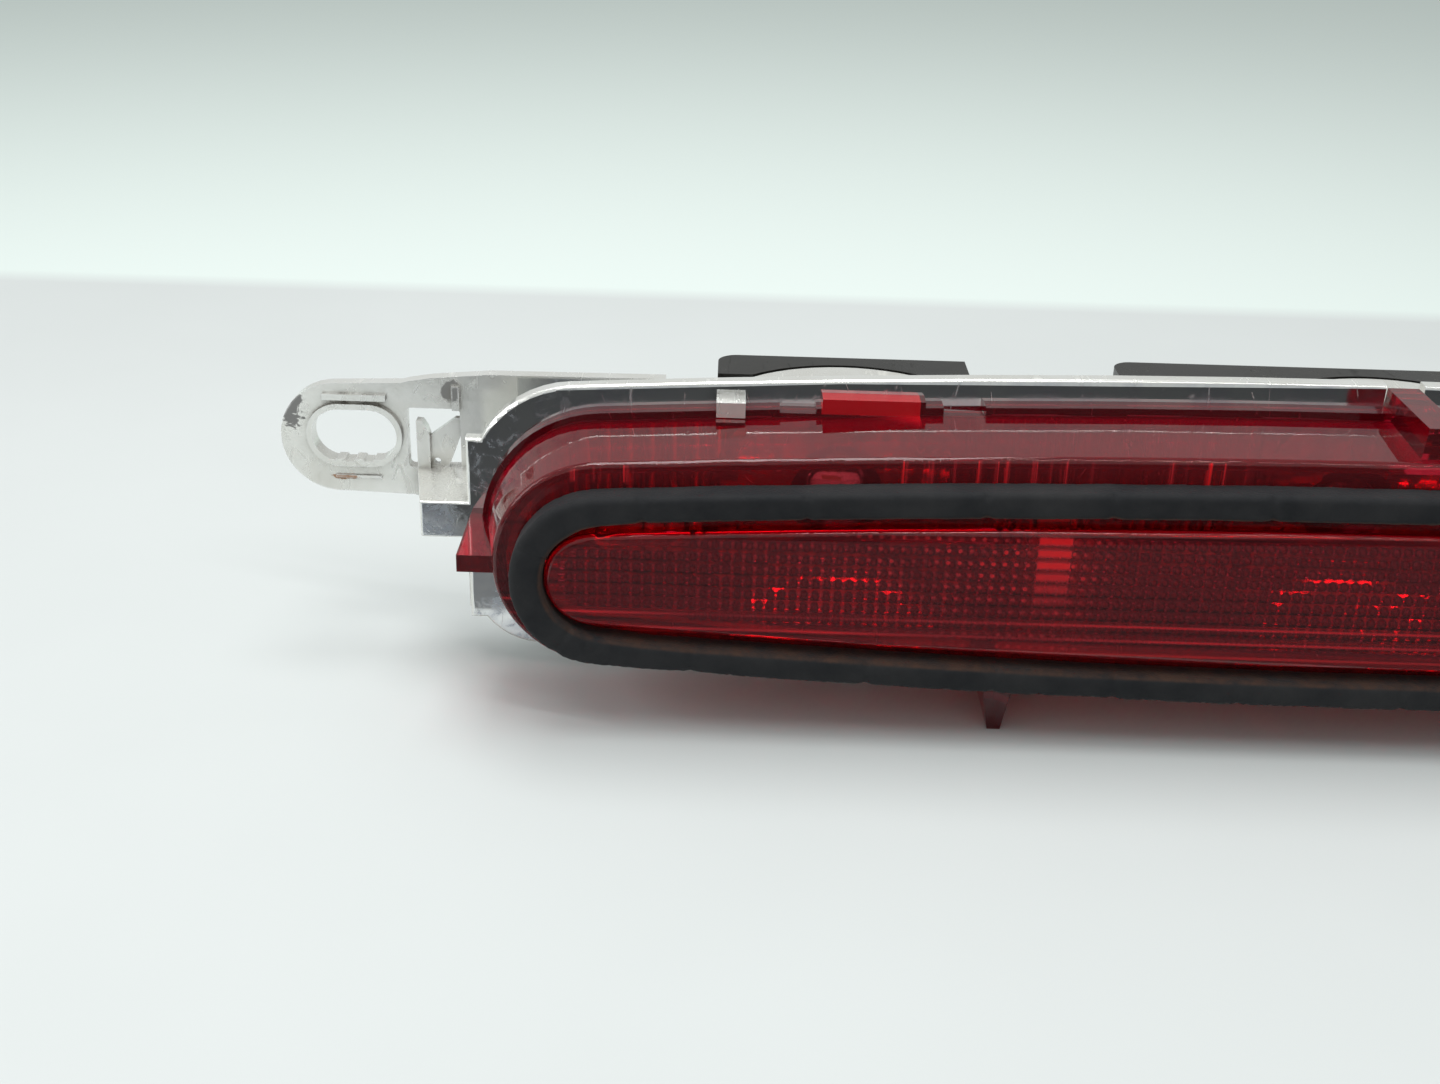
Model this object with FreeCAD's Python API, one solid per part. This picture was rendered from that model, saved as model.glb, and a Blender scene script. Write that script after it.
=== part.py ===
import FreeCAD, Part
import math
import os

os.makedirs("parts", exist_ok=True)

# High-mounted brake lamp, in millimetres.
# X runs along the lamp, +Y runs from the seen face to the back, +Z is up.
# Origin: middle of the foam gasket's front face, on the lens window's centre line.

# ---- overall sizes ----
lampBow = 2200.0           # radius of the long, slightly bowed top and bottom edges
flangeHalf = 156.4         # half length of the mirror flange
flangeHeight = 28.9        # half height of the flange at mid length
gasketThick = 5.0          # foam, front to back
lensDepth = 20.0           # flange face to lens front band

# ---- borders that step the outlines inwards from the flange ----
flangeRimX = 3.9           # flange outside the lens wall, at the ends
flangeRimZ = 5.1           # and at the top and bottom
tubInsetX = 2.5            # tub inside the lens wall
tubInsetZ = 1.3
gasketInsetX = 6.1         # gasket inside the lens wall
gasketInsetZ = 5.0
gasketWidth = 4.5
windowGapX = 1.1           # window inside the gasket's inner edge
windowGapZ = 2.2

wallHalf = flangeHalf - flangeRimX
wallHeight = flangeHeight - flangeRimZ
tubHalf = wallHalf - tubInsetX
tubHeight = wallHeight - tubInsetZ
gasketHalf = wallHalf - gasketInsetX
gasketHeight = wallHeight - gasketInsetZ
windowHalf = gasketHalf - gasketWidth - windowGapX
windowHeight = gasketHeight - gasketWidth - windowGapZ

# ---- depth planes ----
yLensFace = gasketThick
yFlange = yLensFace + lensDepth
footThick = 3.5
yFoot = yFlange - footThick
flangeThick = 2.5
yFlangeBack = yFlange + flangeThick
earSetBack = 12.5          # ear front face behind the flange face
yEar = yFlange + earSetBack
earThick = 2.5
yEarBack = yEar + earThick
neckReach = 5.5            # bulb necks behind the tub's floor, up to the bulb carrier
yNeckEnd = yEarBack + neckReach

# ---- flange outline ----
flangeTopCorner = 18.5
flangeLowCorner = 12.0
flangeEdge = 0.7           # rounding of the flange's front edge
flangeTab = 8.0            # length of the straight end
flangeTabOut = 0.5         # it stands out past the bowed plate by this much
tabTop = 14.6
tabLow = -19.2

# ---- lens ----
topDraft = 1.0             # how far the lens wall leans in over its depth, by side
lowDraft = 2.9
endDraft = 3.0
wallThick = 2.2
footLip = 1.4              # foot standing proud of the wall
footEndLip = 0.9
rimRound = 1.0
windowRise = 3.8           # window face in front of the lens band
windowRound = 1.1
ribPitch = 2.2             # half-round optics ribs behind the window
ribRadius = 0.7
ribMargin = 2.4            # ribs clear of the window's top and bottom
finWidth = 5.2
finTip = 2.2
finFlare = 0.4             # the top fin is wider at its root by this much each side
finRoot = 2.0              # how far a fin's root runs into the lens wall
finGap = 0.6               # fin clear of the flange rim it passes through
finDrop = 0.8              # top fin below the flange's top
finFront = 2.0             # front of each fin behind the lens band
lowFinFront = 3.0
sideFinFront = 0.8
sideFinHeight = 3.0
sideFinLift = 0.4
sideFinShort = 1.0         # side fin inside the flange's end
lowFinX = 65.3
latchX = 111.6             # hooks on the flange that hold the lens foot
lowLatchX = 88.0
latchHalf = 2.4
latchArm = 1.6
latchNib = 1.0
latchReach = 1.2           # hook in front of the lens foot
latchGap = 0.1
nibGap = 0.05
rampLength = 3.0           # snap ramp in front of the foot, under each top hook
rampRise = 0.35
clipX = 88.0               # long raised clip on the lens foot
clipHalf = 8.5
clipRise = 1.3
clipRoot = 3.0
notchGap = 1.0             # outer notch in the foot, away from the clip
notchWidth = 6.0
innerNotchGap = 3.0        # inner notch, away from the clip
innerNotchWidth = 7.0
notchDepth = 1.6
sealWidth = 1.2
sealDepth = 0.8
sealInset = 0.5            # sealant bead inside the foot's outer wall

# ---- tub and reflector bowls ----
tubWall = 2.0
tubRoot = 0.5              # how far pieces run into the plate that carries them
bulbPitch = 92.0
bulbCount = 3
focal = 8.0
bowlApex = 18.0            # bowl bottom behind the flange face
bowlWall = 2.0
bowlFront = 2.0            # bowl lip behind the flange face
bowlReach = 24.0
facetWidth = 3.0
drumRadius = 22.5
drumReach = 17.5           # back of each drum behind the flange face
drumRise = 0.8             # drums stand above the tub
drumMidRise = 1.6          # and the middle one a little more
fluteRadius = 2.6
fluteRise = 1.2
flutePitch = 4.0
fluteClear = 19.0          # no flutes nearer than this to a bulb

# ---- bulb ----
glassRadius = 5.1
glassLength = 18.5
glassWall = 0.7
glassShoulder = 2.0        # the round glass narrows to the flat wedge over this length
wedgeHalf = 4.6
wedgeThick = 1.8
wedgeLength = 7.5
leadRadius = 0.25
leadX = 1.6
postRadius = 0.22
postX = 2.4
filamentRadius = 0.45
filamentHalf = 2.2
filamentBack = 6.5         # filament behind the tip of the glass

# ---- bulb hole, collar and socket, round the bulb ----
collarClear = 0.9          # glass to collar bore
collarWall = 2.3
collarGap = 0.2            # collar to bulb hole
neckWall = 3.5
collarReach = 3.0
socketGap = 0.6            # wedge to the ends of the socket's slot
bladeThick = 0.4
bladeGap = 0.28            # spring blade to the slot's wall
socketWall = 2.6
socketEndWall = 2.8
socketDepth = 9.5

collarIn = glassRadius + collarClear
collarOut = collarIn + collarWall
bulbHole = collarOut + collarGap
neckRadius = bulbHole + neckWall
bladeLift = wedgeThick + 2 * leadRadius + 0.02
slotHalfX = wedgeHalf + socketGap
slotHalfZ = bladeLift + bladeThick + bladeGap
socketHalf = slotHalfX + socketEndWall
socketHeight = slotHalfZ + socketWall

# ---- ears ----
slotOut = 21.35            # fixing slot outside the flange's end
slotLift = 9.95
slotLength = 14.9
slotWidth = 9.7
slotTooth = 0.4
toothPitch = 3.3
toothHalf = 1.2
toothTip = 0.7
toothShift = 0.6
collarWidth = 1.0
collarRise = 0.9
earTipWall = 5.7           # ear's end outside the slot
earTopWall = 4.95
earLowWall = 6.35
windowOut = 7.4            # ear's opening outside the flange's end
windowLift = 9.6
earWindowLength = 9.4
earWindowHeight = 11.2
earWindowRound = 0.8

slotX = flangeHalf + slotOut
earTip = slotX + slotLength / 2 + earTipWall
windowX = flangeHalf + windowOut

# ---- bulb carrier ----
plateThick = 2.0
hoodHalf = 22.0
hoodMidHalf = 44.0
hoodDepth = 10.5
hoodRise = 0.1             # hoods stand above the drums
hoodWall = 1.8
hoodRound = 3.5
hoodGap = 0.8              # hood edge clear of the drum
tubGap = 0.3               # hood walls clear of the tub
guideWidth = 6.0           # fingers that grip the carrier's long edges
guideThick = 1.8
guideGap = 0.1
guidePast = 0.8
barHeight = 14.5
tongueSide = 3.0
tongueLift = 0.6
tongueTop = -15.0

# ---- electrical parts ----
stripThick = 0.6
stripWidth = 4.0
stripLift = 9.0
stripPast = 6.0            # strip ends past the outer bulbs
bladeWidth = 4.0
bladeTop = 1.5             # blade's leg above the strip's near edge
bladeClear = 0.2
bladeBend = 0.6
crossGap = 0.9
connectorHalf = 10.0
connectorHeight = 12.0
connectorDepth = 13.0
connectorWall = 1.4
connectorFloor = 1.6
connectorRound = 1.2
keyHalf = 2.0
keyRise = 1.2
footHalf = 6.0
footBar = 1.4
pinX = 3.0
pinHalf = 1.4
pinThick = 0.4
pinLength = 9.5
pinGap = 0.02
legX = 13.0
legHalf = 1.0

yPlate = yNeckEnd
yPlateBack = yPlate + plateThick
ySocketEnd = yPlateBack + socketDepth
wedgeSink = 0.4
yWedge = yPlateBack - wedgeSink   # where the bulb's round glass ends and its flat wedge begins
yStrip = yPlateBack + stripThick
yCross = yStrip + crossGap
zConnector = -flangeHeight
zPin = zConnector + connectorHeight / 2
bulbXs = [bulbPitch * (i - (bulbCount - 1) / 2) for i in range(bulbCount)]
guideX = (hoodMidHalf + bulbPitch - hoodHalf) / 2   # midway between two hoods
farZ = flangeHeight + 20.0        # past everything, for cutting blocks


def vec(x, y, z):
    return FreeCAD.Vector(x, y, z)


def box(x0, x1, y0, y1, z0, z1):
    return Part.makeBox(x1 - x0, y1 - y0, z1 - z0, vec(x0, y0, z0))


def sideBox(s, xa, xb, y0, y1, z0, z1):
    # a box on the side s of the middle, between two distances from it
    x0, x1 = sorted((s * xa, s * xb))
    return box(x0, x1, y0, y1, z0, z1)


def rodY(r, y0, y1, x=0.0, z=0.0):
    return Part.makeCylinder(r, y1 - y0, vec(x, y0, z), vec(0, 1, 0))


def rodZ(r, z0, z1, x, y):
    return Part.makeCylinder(r, z1 - z0, vec(x, y, z0), vec(0, 0, 1))


def rodX(r, x0, x1, y, z):
    return Part.makeCylinder(r, x1 - x0, vec(x0, y, z), vec(1, 0, 0))


def mirrorX(shape):
    return shape.mirror(vec(0, 0, 0), vec(1, 0, 0))


def mirrorZ(shape):
    return shape.mirror(vec(0, 0, 0), vec(0, 0, 1))


def joined(shapes):
    whole = shapes[0].fuse(shapes[1:])
    return whole.removeSplitter()


def arc(a, b, c):
    return Part.Arc(a, b, c).toShape()


def bowDrop(x):
    # how far a bowed edge has come down at x
    return lampBow - math.sqrt(lampBow ** 2 - x ** 2)


def roundEndWire(half, height, y):
    # long bowed top and bottom, closed by full round ends tangent to both
    r = (2 * lampBow * height - height ** 2 - half ** 2) / (2 * (lampBow - half))
    cx = half - r
    drop = lampBow - height
    reach = math.hypot(cx, drop)
    tx = cx * lampBow / reach
    tz = -drop + drop * lampBow / reach
    topLeft = vec(-tx, y, tz)
    topRight = vec(tx, y, tz)
    lowRight = vec(tx, y, -tz)
    lowLeft = vec(-tx, y, -tz)
    return Part.Wire([
        arc(topLeft, vec(0, y, height), topRight),
        arc(topRight, vec(half, y, 0), lowRight),
        arc(lowRight, vec(0, y, -height), lowLeft),
        arc(lowLeft, vec(-half, y, 0), topLeft)])


def roundEnd(half, height, y0, y1):
    return Part.Face(roundEndWire(half, height, y0)).extrude(vec(0, y1 - y0, 0))


def roundEndDraft(half0, height0, y0, half1, height1, y1, lift):
    # the second end sits higher than the first by lift
    ends = [roundEndWire(half0, height0, y0), roundEndWire(half1, height1, y1)]
    ends[1].translate(vec(0, 0, lift))
    return Part.makeLoft(ends, True, True)


def prismY(points, y0, y1):
    loop = [vec(x, y0, z) for x, z in points]
    loop.append(loop[0])
    return Part.Face(Part.makePolygon(loop)).extrude(vec(0, y1 - y0, 0))


def slotSolid(length, width, y0, y1, x, z):
    reach = length / 2 - width / 2
    middle = box(x - reach, x + reach, y0, y1, z - width / 2, z + width / 2)
    ends = [rodY(width / 2, y0, y1, x + s * reach, z) for s in (-1, 1)]
    return joined([middle] + ends)


def edgesWhere(shape, test):
    return [e for e in shape.Edges if test(e.BoundBox)]


def frontEdges(shape, y):
    return edgesWhere(shape, lambda b: abs(b.YMin - y) < 0.01 and abs(b.YMax - y) < 0.01)


def bowlInner(x0):
    # stepped bowl: upright strips, each a parabola in height, deepest in the middle
    count = int(math.ceil(bowlReach / facetWidth))
    front = yFlange + bowlFront - 1.0
    strips = []
    for i in range(-count, count):
        near = x0 + i * facetWidth
        far = max(abs(i), abs(i + 1)) * facetWidth
        deep = yFlange + bowlApex - far ** 2 / (4 * focal)
        if deep - front < 1.5:
            continue
        top = math.sqrt(4 * focal * (deep - front))
        heights = [top * k / 6 for k in range(-6, 7)]
        points = [vec(near, deep - z ** 2 / (4 * focal), z) for z in heights]
        curve = Part.BSplineCurve()
        curve.interpolate(points)
        closing = Part.makeLine(points[-1], points[0])
        face = Part.Face(Part.Wire([curve.toShape(), closing]))
        strips.append(face.extrude(vec(facetWidth, 0, 0)))
    return strips


def bowlOuter(x0):
    apex = yFlange + bowlApex + bowlWall
    front = yFlange + bowlFront
    reach = math.sqrt(4 * focal * (apex - front))
    points = [vec(x0 + reach * k / 8, apex - (reach * k / 8) ** 2 / (4 * focal), 0)
              for k in range(9)]
    curve = Part.BSplineCurve()
    curve.interpolate(points)
    loop = [curve.toShape(),
            Part.makeLine(points[-1], vec(x0, front, 0)),
            Part.makeLine(vec(x0, front, 0), points[0])]
    return Part.Face(Part.Wire(loop)).revolve(vec(x0, 0, 0), vec(0, 1, 0), 360)


def drum(x0, height, y0, grow=0.0):
    # flat-topped half drum behind the flange that carries one bowl
    r = drumRadius + grow
    centre = yFlange + drumReach - drumRadius
    whole = rodZ(r, -height, height, x0, centre)
    return whole.common(box(x0 - r, x0 + r, y0, centre + r, -height, height))


def drumHeightAt(x0):
    return tubHeight + (drumMidRise if abs(x0) < 1 else drumRise)


def flangePlate():
    half = flangeHalf - flangeTabOut
    reach = lampBow - flangeHeight
    disks = [rodY(lampBow, yFlange, yFlangeBack, 0, s * reach) for s in (-1, 1)]
    plate = disks[0].common(disks[1])
    plate = plate.common(box(-half, half, yFlange, yFlangeBack, -farZ, farZ))
    ends = edgesWhere(plate, lambda b: b.YLength > 2 and abs(abs(b.XMin) - half) < 0.1)
    upper = [e for e in ends if e.BoundBox.ZMin > 0]
    plate = plate.makeFillet(flangeTopCorner, upper)
    ends = edgesWhere(plate, lambda b: b.YLength > 2 and abs(abs(b.XMin) - half) < 0.1)
    lower = [e for e in ends if e.BoundBox.ZMax < -flangeHeight * 0.7]
    plate = plate.makeFillet(flangeLowCorner, lower)
    for s in (-1, 1):
        plate = plate.fuse(sideBox(s, flangeHalf - flangeTab, flangeHalf, yFlange, yFlangeBack,
                                   tabLow, tabTop))
    plate = plate.removeSplitter()
    return plate.makeFillet(flangeEdge, frontEdges(plate, yFlange))


def slotTeeth():
    # three small teeth along the lower edge of the fixing slot
    teeth = []
    z = slotLift - slotWidth / 2
    for k in (-1, 0, 1):
        x = -slotX + k * toothPitch + toothShift
        teeth.append(prismY([(x - toothHalf, z - 0.3), (x + toothHalf, z - 0.3),
                             (x + toothTip, z + slotTooth), (x - toothTip, z + slotTooth)],
                            yEar - collarRise, yEarBack))
    return teeth


def ear():
    # left ear; the right one is its mirror image
    top = slotLift + slotWidth / 2 + earTopWall
    low = slotLift - slotWidth / 2 - earLowWall
    mid = (top + low) / 2
    r = (top - low) / 2 - 0.4
    inner = -tubHalf + 3.0
    cx = -earTip + r
    tip = rodY(r, yEar, yEarBack, cx, mid)
    blade = prismY([(cx, mid - r), (cx + 13.0, low), (inner, low - 4), (inner + 24, low - 4),
                    (inner + 24, top + 2.15), (cx + 27.0, top + 1.95), (cx + 17.0, top + 1.05),
                    (cx + 12.8, top + 0.35), (cx + 11.6, top), (cx, mid + r)], yEar, yEarBack)
    ring = slotSolid(slotLength + 2 * collarWidth, slotWidth + 2 * collarWidth,
                     yEar - collarRise, yEar, -slotX, slotLift)
    barLow = slotLift + slotWidth / 2 + 1.65
    bar = box(-slotX - 5.3, -slotX + 5.8, yEar - 0.8, yEar, barLow, barLow + 1.1)
    lowBarTop = slotLift - slotWidth / 2 - 2.85
    lowBar = box(-slotX - 3.8, -slotX + 4.4, yEar - 0.35, yEar, lowBarTop - 0.5, lowBarTop)
    shape = joined([tip, blade, ring, bar, lowBar])
    shape = shape.cut(slotSolid(slotLength, slotWidth, yEar - 2, yEarBack + 1, -slotX, slotLift))
    shape = shape.fuse(slotTeeth())
    opening = box(-windowX - earWindowLength / 2, -windowX + earWindowLength / 2,
                  yEar - 1, yEarBack + 1, windowLift - earWindowHeight / 2,
                  windowLift + earWindowHeight / 2)
    upright = edgesWhere(opening, lambda b: b.YLength > 2)
    return shape.cut(opening.makeFillet(earWindowRound, upright)).removeSplitter()


def shelf():
    # ledge beside the flange, widening and rising to the ear, where a hooked finger and a
    # slanting gusset stand in the ear's opening
    edge = -flangeHalf
    low, frontTop, backTop = -3.9, 2.8, 4.2
    outer = edge - windowOut - 3.2
    inner = edge + 6
    front = [vec(edge - 8.1, yFlange, low), vec(inner, yFlange, low),
             vec(inner, yFlange, frontTop), vec(edge - 8.1, yFlange, frontTop)]
    back = [vec(outer, yEar, low), vec(inner, yEar, low),
            vec(inner, yEar, backTop), vec(outer, yEar, backTop)]
    wires = [Part.makePolygon(loop + [loop[0]]) for loop in (front, back)]
    block = Part.makeLoft(wires, True, True)
    block = block.makeFillet(0.5, frontEdges(block, yFlange))
    foot = box(outer, edge + 4, yEar - 0.2, yEarBack, -1.0, backTop)
    x = outer + 0.2
    finger = prismY([(x, 3.5), (x + 2.3, 3.5), (x + 2.3, 10.3), (x + 1.9, 11.6),
                     (x + 1.1, 12.9), (x, 13.0)], yEar - 0.6, yEar + 1.6)
    gusset = prismY([(x + 2.2, 3.6), (x + 5.2, 3.6), (x + 8.0, 11.0), (x + 8.0, 13.4),
                     (x + 6.8, 13.4), (x + 2.2, 9.9)], yEar + 0.3, yEar + 1.6)
    gusset = gusset.cut(rodY(0.6, yEar - 1, yEarBack, x + 3.4, 5.2))
    wall = box(edge - 0.4, edge + 2.0, yFlangeBack - tubRoot, yEar + 1.0, tabLow + 1.2, 2.6)
    rail = box(edge - 3.9, edge - 2.6, yEar - 1.0, yEar + 0.5, tabTop + 0.6, tabTop + 5.0)
    return joined([block, foot, finger, gusset, wall, rail])


def flutes():
    # upright half-round ridges on the tub floor between the bowls
    ridges = []
    steps = int(tubHalf / flutePitch)
    for i in range(-steps, steps + 1):
        x = i * flutePitch
        if min(abs(x - b) for b in bulbXs) < fluteClear:
            continue
        ridges.append(rodZ(fluteRadius, -tubHeight, tubHeight, x, yEar + fluteRise))
    return ridges


def footTop(x):
    return wallHeight + footLip - bowDrop(x)


def latch(x0, s):
    # small hook on the flange that holds the lens foot
    lift = footTop(x0) + latchGap
    front = yFoot - latchReach
    arm = box(x0 - latchHalf, x0 + latchHalf, front, yFlange + 0.4, lift, lift + latchArm)
    nib = box(x0 - latchHalf, x0 + latchHalf, front, yFoot - nibGap, lift - latchNib, lift)
    hook = joined([arm, nib])
    return hook if s > 0 else mirrorZ(hook)


def reflectorHousing():
    tub = roundEnd(tubHalf, tubHeight, yFlangeBack - tubRoot, yEarBack)
    hollow = roundEnd(tubHalf - tubWall, tubHeight - tubWall, yFlange - 1, yEar)
    drums = [drum(x, drumHeightAt(x), yFlangeBack - tubRoot) for x in bulbXs]
    left = joined([ear(), shelf()])
    shell = joined([flangePlate(), tub, left, mirrorX(left)] + drums)
    shell = shell.cut(hollow)
    ridges = [f.common(hollow) for f in flutes()]
    shell = shell.fuse(ridges)
    room = roundEnd(tubHalf - 0.5, tubHeight - 0.5, yFlange, yNeckEnd + 4)
    bowls = [bowlOuter(x).common(room) for x in bulbXs]
    necks = [rodY(neckRadius, yFlange + bowlApex - 4.0, yNeckEnd, x) for x in bulbXs]
    shell = shell.fuse(bowls + necks)
    inside = roundEnd(tubHalf - tubWall, tubHeight - tubWall, yFlange - 1, yNeckEnd + 4)
    for x in bulbXs:
        strips = bowlInner(x)
        scoop = strips[0].fuse(strips[1:]).common(inside)
        shell = shell.cut(scoop)
        shell = shell.cut(rodY(bulbHole, yFlange + bowlApex - 10.0, yNeckEnd + 4, x))
    finRoom = finWidth / 2 + finGap
    shell = shell.cut(box(-finRoom, finRoom, yFlange - 1, yFlangeBack + 0.1,
                          wallHeight - finRoot - finGap, flangeHeight + 2))
    hooks = [latch(s * latchX, 1) for s in (-1, 1)] + [latch(s * lowLatchX, -1) for s in (-1, 1)]
    return joined([shell] + hooks + guides())


def guides():
    # four fingers on the tub's back that grip the long edges of the carrier's bar
    fingers = []
    low = barHeight + guideGap
    for sx in (-1, 1):
        for sz in (-1, 1):
            x = sx * guideX
            z0, z1 = sorted((sz * low, sz * (low + guideThick)))
            fingers.append(box(x - guideWidth / 2, x + guideWidth / 2, yEarBack - tubRoot,
                               yPlateBack + guidePast, z0, z1))
    return fingers


def lensFins():
    root = wallHeight - finRoot
    half = finWidth / 2
    finTop = flangeHeight - finDrop
    fins = [prismY([(-half - finFlare, root), (half + finFlare, root), (half, finTop), (-half, finTop)],
                   yLensFace + finFront, yFlange + 1.0)]
    for s in (-1, 1):
        x = s * lowFinX
        fins.append(prismY([(x - half, -root + 1.5), (x + half, -root + 1.5),
                            (x + finTip / 2, -flangeHeight), (x - finTip / 2, -flangeHeight)],
                           yLensFace + lowFinFront, yFlange))
        z0 = sideFinLift - sideFinHeight / 2
        fins.append(sideBox(s, wallHalf - endDraft, flangeHalf - sideFinShort,
                            yLensFace + sideFinFront, yFlange, z0, z0 + sideFinHeight))
    return fins


def lensFoot():
    # flat rim against the flange, notched beside each clip
    foot = roundEnd(wallHalf + footEndLip, wallHeight + footLip, yFoot, yFlange)
    outer = clipX + clipHalf + notchGap
    inner = clipX - clipHalf - innerNotchGap
    for s in (-1, 1):
        for a, b in ((outer, outer + notchWidth), (inner - innerNotchWidth, inner)):
            foot = foot.cut(sideBox(s, a, b, yFoot - 1, yFlange + 1, wallHeight - notchDepth, farZ))
    return foot


def lensClips():
    # raised clips on the foot, and the snap ramps in front of the top hooks
    clips = []
    ramp = wallHeight - bowDrop(latchX)
    for s in (-1, 1):
        clips.append(sideBox(s, clipX - clipHalf, clipX + clipHalf, yFoot, yFlange,
                             wallHeight - clipRoot, footTop(clipX) + clipRise))
        clips.append(sideBox(s, latchX - latchHalf, latchX + latchHalf, yFoot - rampLength,
                             yFoot + 0.5, ramp - 1.5, ramp + rampRise))
    return clips


def lens():
    rimHalf = wallHalf - endDraft
    rimHeight = wallHeight - (topDraft + lowDraft) / 2
    rimLift = (lowDraft - topDraft) / 2
    cup = roundEndDraft(wallHalf, wallHeight, yFoot, rimHalf, rimHeight, yLensFace, rimLift)
    cup = cup.makeFillet(rimRound, frontEdges(cup, yLensFace))
    yWindow = yLensFace - windowRise
    window = roundEnd(windowHalf, windowHeight, yWindow, yLensFace + 1)
    window = window.makeFillet(windowRound, frontEdges(window, yWindow))
    body = joined([cup, lensFoot(), window] + lensClips())
    cavity = roundEndDraft(wallHalf - wallThick, wallHeight - wallThick, yFlange,
                           rimHalf - wallThick, rimHeight - wallThick, yLensFace + wallThick, rimLift)
    yNiche = yWindow + wallThick
    niche = roundEnd(windowHalf - wallThick, windowHeight - wallThick, yNiche,
                     yLensFace + wallThick + 1)
    body = body.cut(joined([cavity, niche]))
    ribRoom = roundEnd(windowHalf - 1, windowHeight - 1, yNiche - 0.3, yNiche + 2)
    ribCount = 2 * int((windowHeight - ribMargin) / ribPitch) + 1
    ribs = []
    for k in range(ribCount):
        z = ribPitch * (k - (ribCount - 1) / 2)
        ribs.append(rodX(ribRadius, -windowHalf, windowHalf, yNiche, z).common(ribRoom))
    finsOut = [f.cut(cavity) for f in lensFins()]
    return joined([body] + ribs + finsOut)


def panelGasket():
    outer = roundEnd(gasketHalf, gasketHeight, 0, gasketThick)
    inner = roundEnd(gasketHalf - gasketWidth, gasketHeight - gasketWidth, -1, gasketThick + 1)
    return outer.cut(inner)


def lensSeal():
    # thin bead of sealant between the lens foot and the flange, in a shallow foot groove
    inset = sealInset + sealWidth
    outer = roundEnd(wallHalf - sealInset, wallHeight - sealInset, yFlange - sealDepth, yFlange)
    inner = roundEnd(wallHalf - inset, wallHeight - inset, yFlange - 5, yFlange + 1)
    return outer.cut(inner)


def carrierHood(x0, half, height, roundLeft, roundRight):
    back = yPlateBack
    outer = box(x0 - half, x0 + half, back - hoodDepth, back, -height, height)
    corners = edgesWhere(outer, lambda b: b.ZLength > 10 and b.YMin > back - 0.1 and
                         ((roundLeft and b.XMax < x0) or (roundRight and b.XMin > x0)))
    outer = outer.makeFillet(hoodRound, corners)
    inner = box(x0 - half + hoodWall, x0 + half - hoodWall, back - hoodDepth - 1,
                yPlate, -height + hoodWall, height - hoodWall)
    return outer.cut(inner)


def bulbCarrier():
    hoods = []
    for x in bulbXs:
        height = drumHeightAt(x) + hoodRise
        if abs(x) < 1:
            hoods.append(carrierHood(x, hoodMidHalf, height, True, True))
        else:
            hoods.append(carrierHood(x, hoodHalf, height, x < 0, x > 0))
    bar = box(-bulbPitch, bulbPitch, yPlate, yPlateBack, -barHeight, barHeight)
    side = connectorHalf + tongueSide
    tongue = box(-side, side, yPlate, yPlateBack, zConnector + tongueLift, tongueTop)
    plate = joined(hoods + [bar, tongue])
    front = box(-earTip, earTip, yFlange, yPlate, -farZ, farZ)
    clearance = [drum(x, farZ, yFlange, hoodGap).common(front) for x in bulbXs]
    clearance.append(roundEnd(tubHalf + tubGap, tubHeight + tubGap, yFlange, yEarBack + tubGap))
    plate = plate.cut(clearance)
    adds = []
    for x in bulbXs:
        adds.append(rodY(collarOut, yPlate - collarReach, yPlate + 0.2, x))
        adds.append(box(x - socketHalf, x + socketHalf, yPlateBack - 0.2, ySocketEnd,
                        -socketHeight, socketHeight))
    plate = joined([plate] + adds)
    for x in bulbXs:
        plate = plate.cut(rodY(collarIn, yPlate - 5, yWedge, x))
        plate = plate.cut(box(x - slotHalfX, x + slotHalfX, yPlate - 1, ySocketEnd + 1,
                              -slotHalfZ, slotHalfZ))
    return plate


def socketContacts(x0):
    # two spring blades that wrap round the back of the socket to the strips
    left = x0 - bladeWidth / 2
    right = x0 + bladeWidth / 2
    reach = stripLift + bladeTop
    yEnd = ySocketEnd + bladeBend
    inner = box(left, right, yWedge + 1.0, yEnd, bladeLift, bladeLift + bladeThick)
    web = box(left, right, ySocketEnd + bladeClear, yEnd, bladeLift, reach)
    leg = box(left, right, yStrip, yEnd, reach - bladeThick, reach)
    clip = joined([inner, web, leg])
    return Part.makeCompound([mirrorZ(clip), clip])


def conductorStrip(s):
    z0, z1 = sorted((s * stripLift, s * (stripLift + stripWidth)))
    reach = bulbPitch + stripPast
    return box(-reach, reach, yPlateBack, yStrip, z0, z1)


def terminal(s):
    # s = 1 reaches the upper strip and crosses over the lower one without touching
    yEnd = yCross + stripThick
    zTop = stripLift + stripWidth if s > 0 else -stripLift
    leg = sideBox(s, legX - legHalf, legX + legHalf, yCross, yEnd, zPin - 1, zTop)
    foot = sideBox(s, legX - legHalf, legX + legHalf, yStrip, yEnd, zTop - 2, zTop)
    link = sideBox(s, pinX - pinHalf, legX + legHalf, yCross, yEnd, zPin - 1, zPin + 1)
    pin = sideBox(s, pinX - pinHalf, pinX + pinHalf, yCross, yEnd + pinLength, zPin - pinThick,
                  zPin + pinThick)
    return joined([leg, foot, link, pin])


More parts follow.
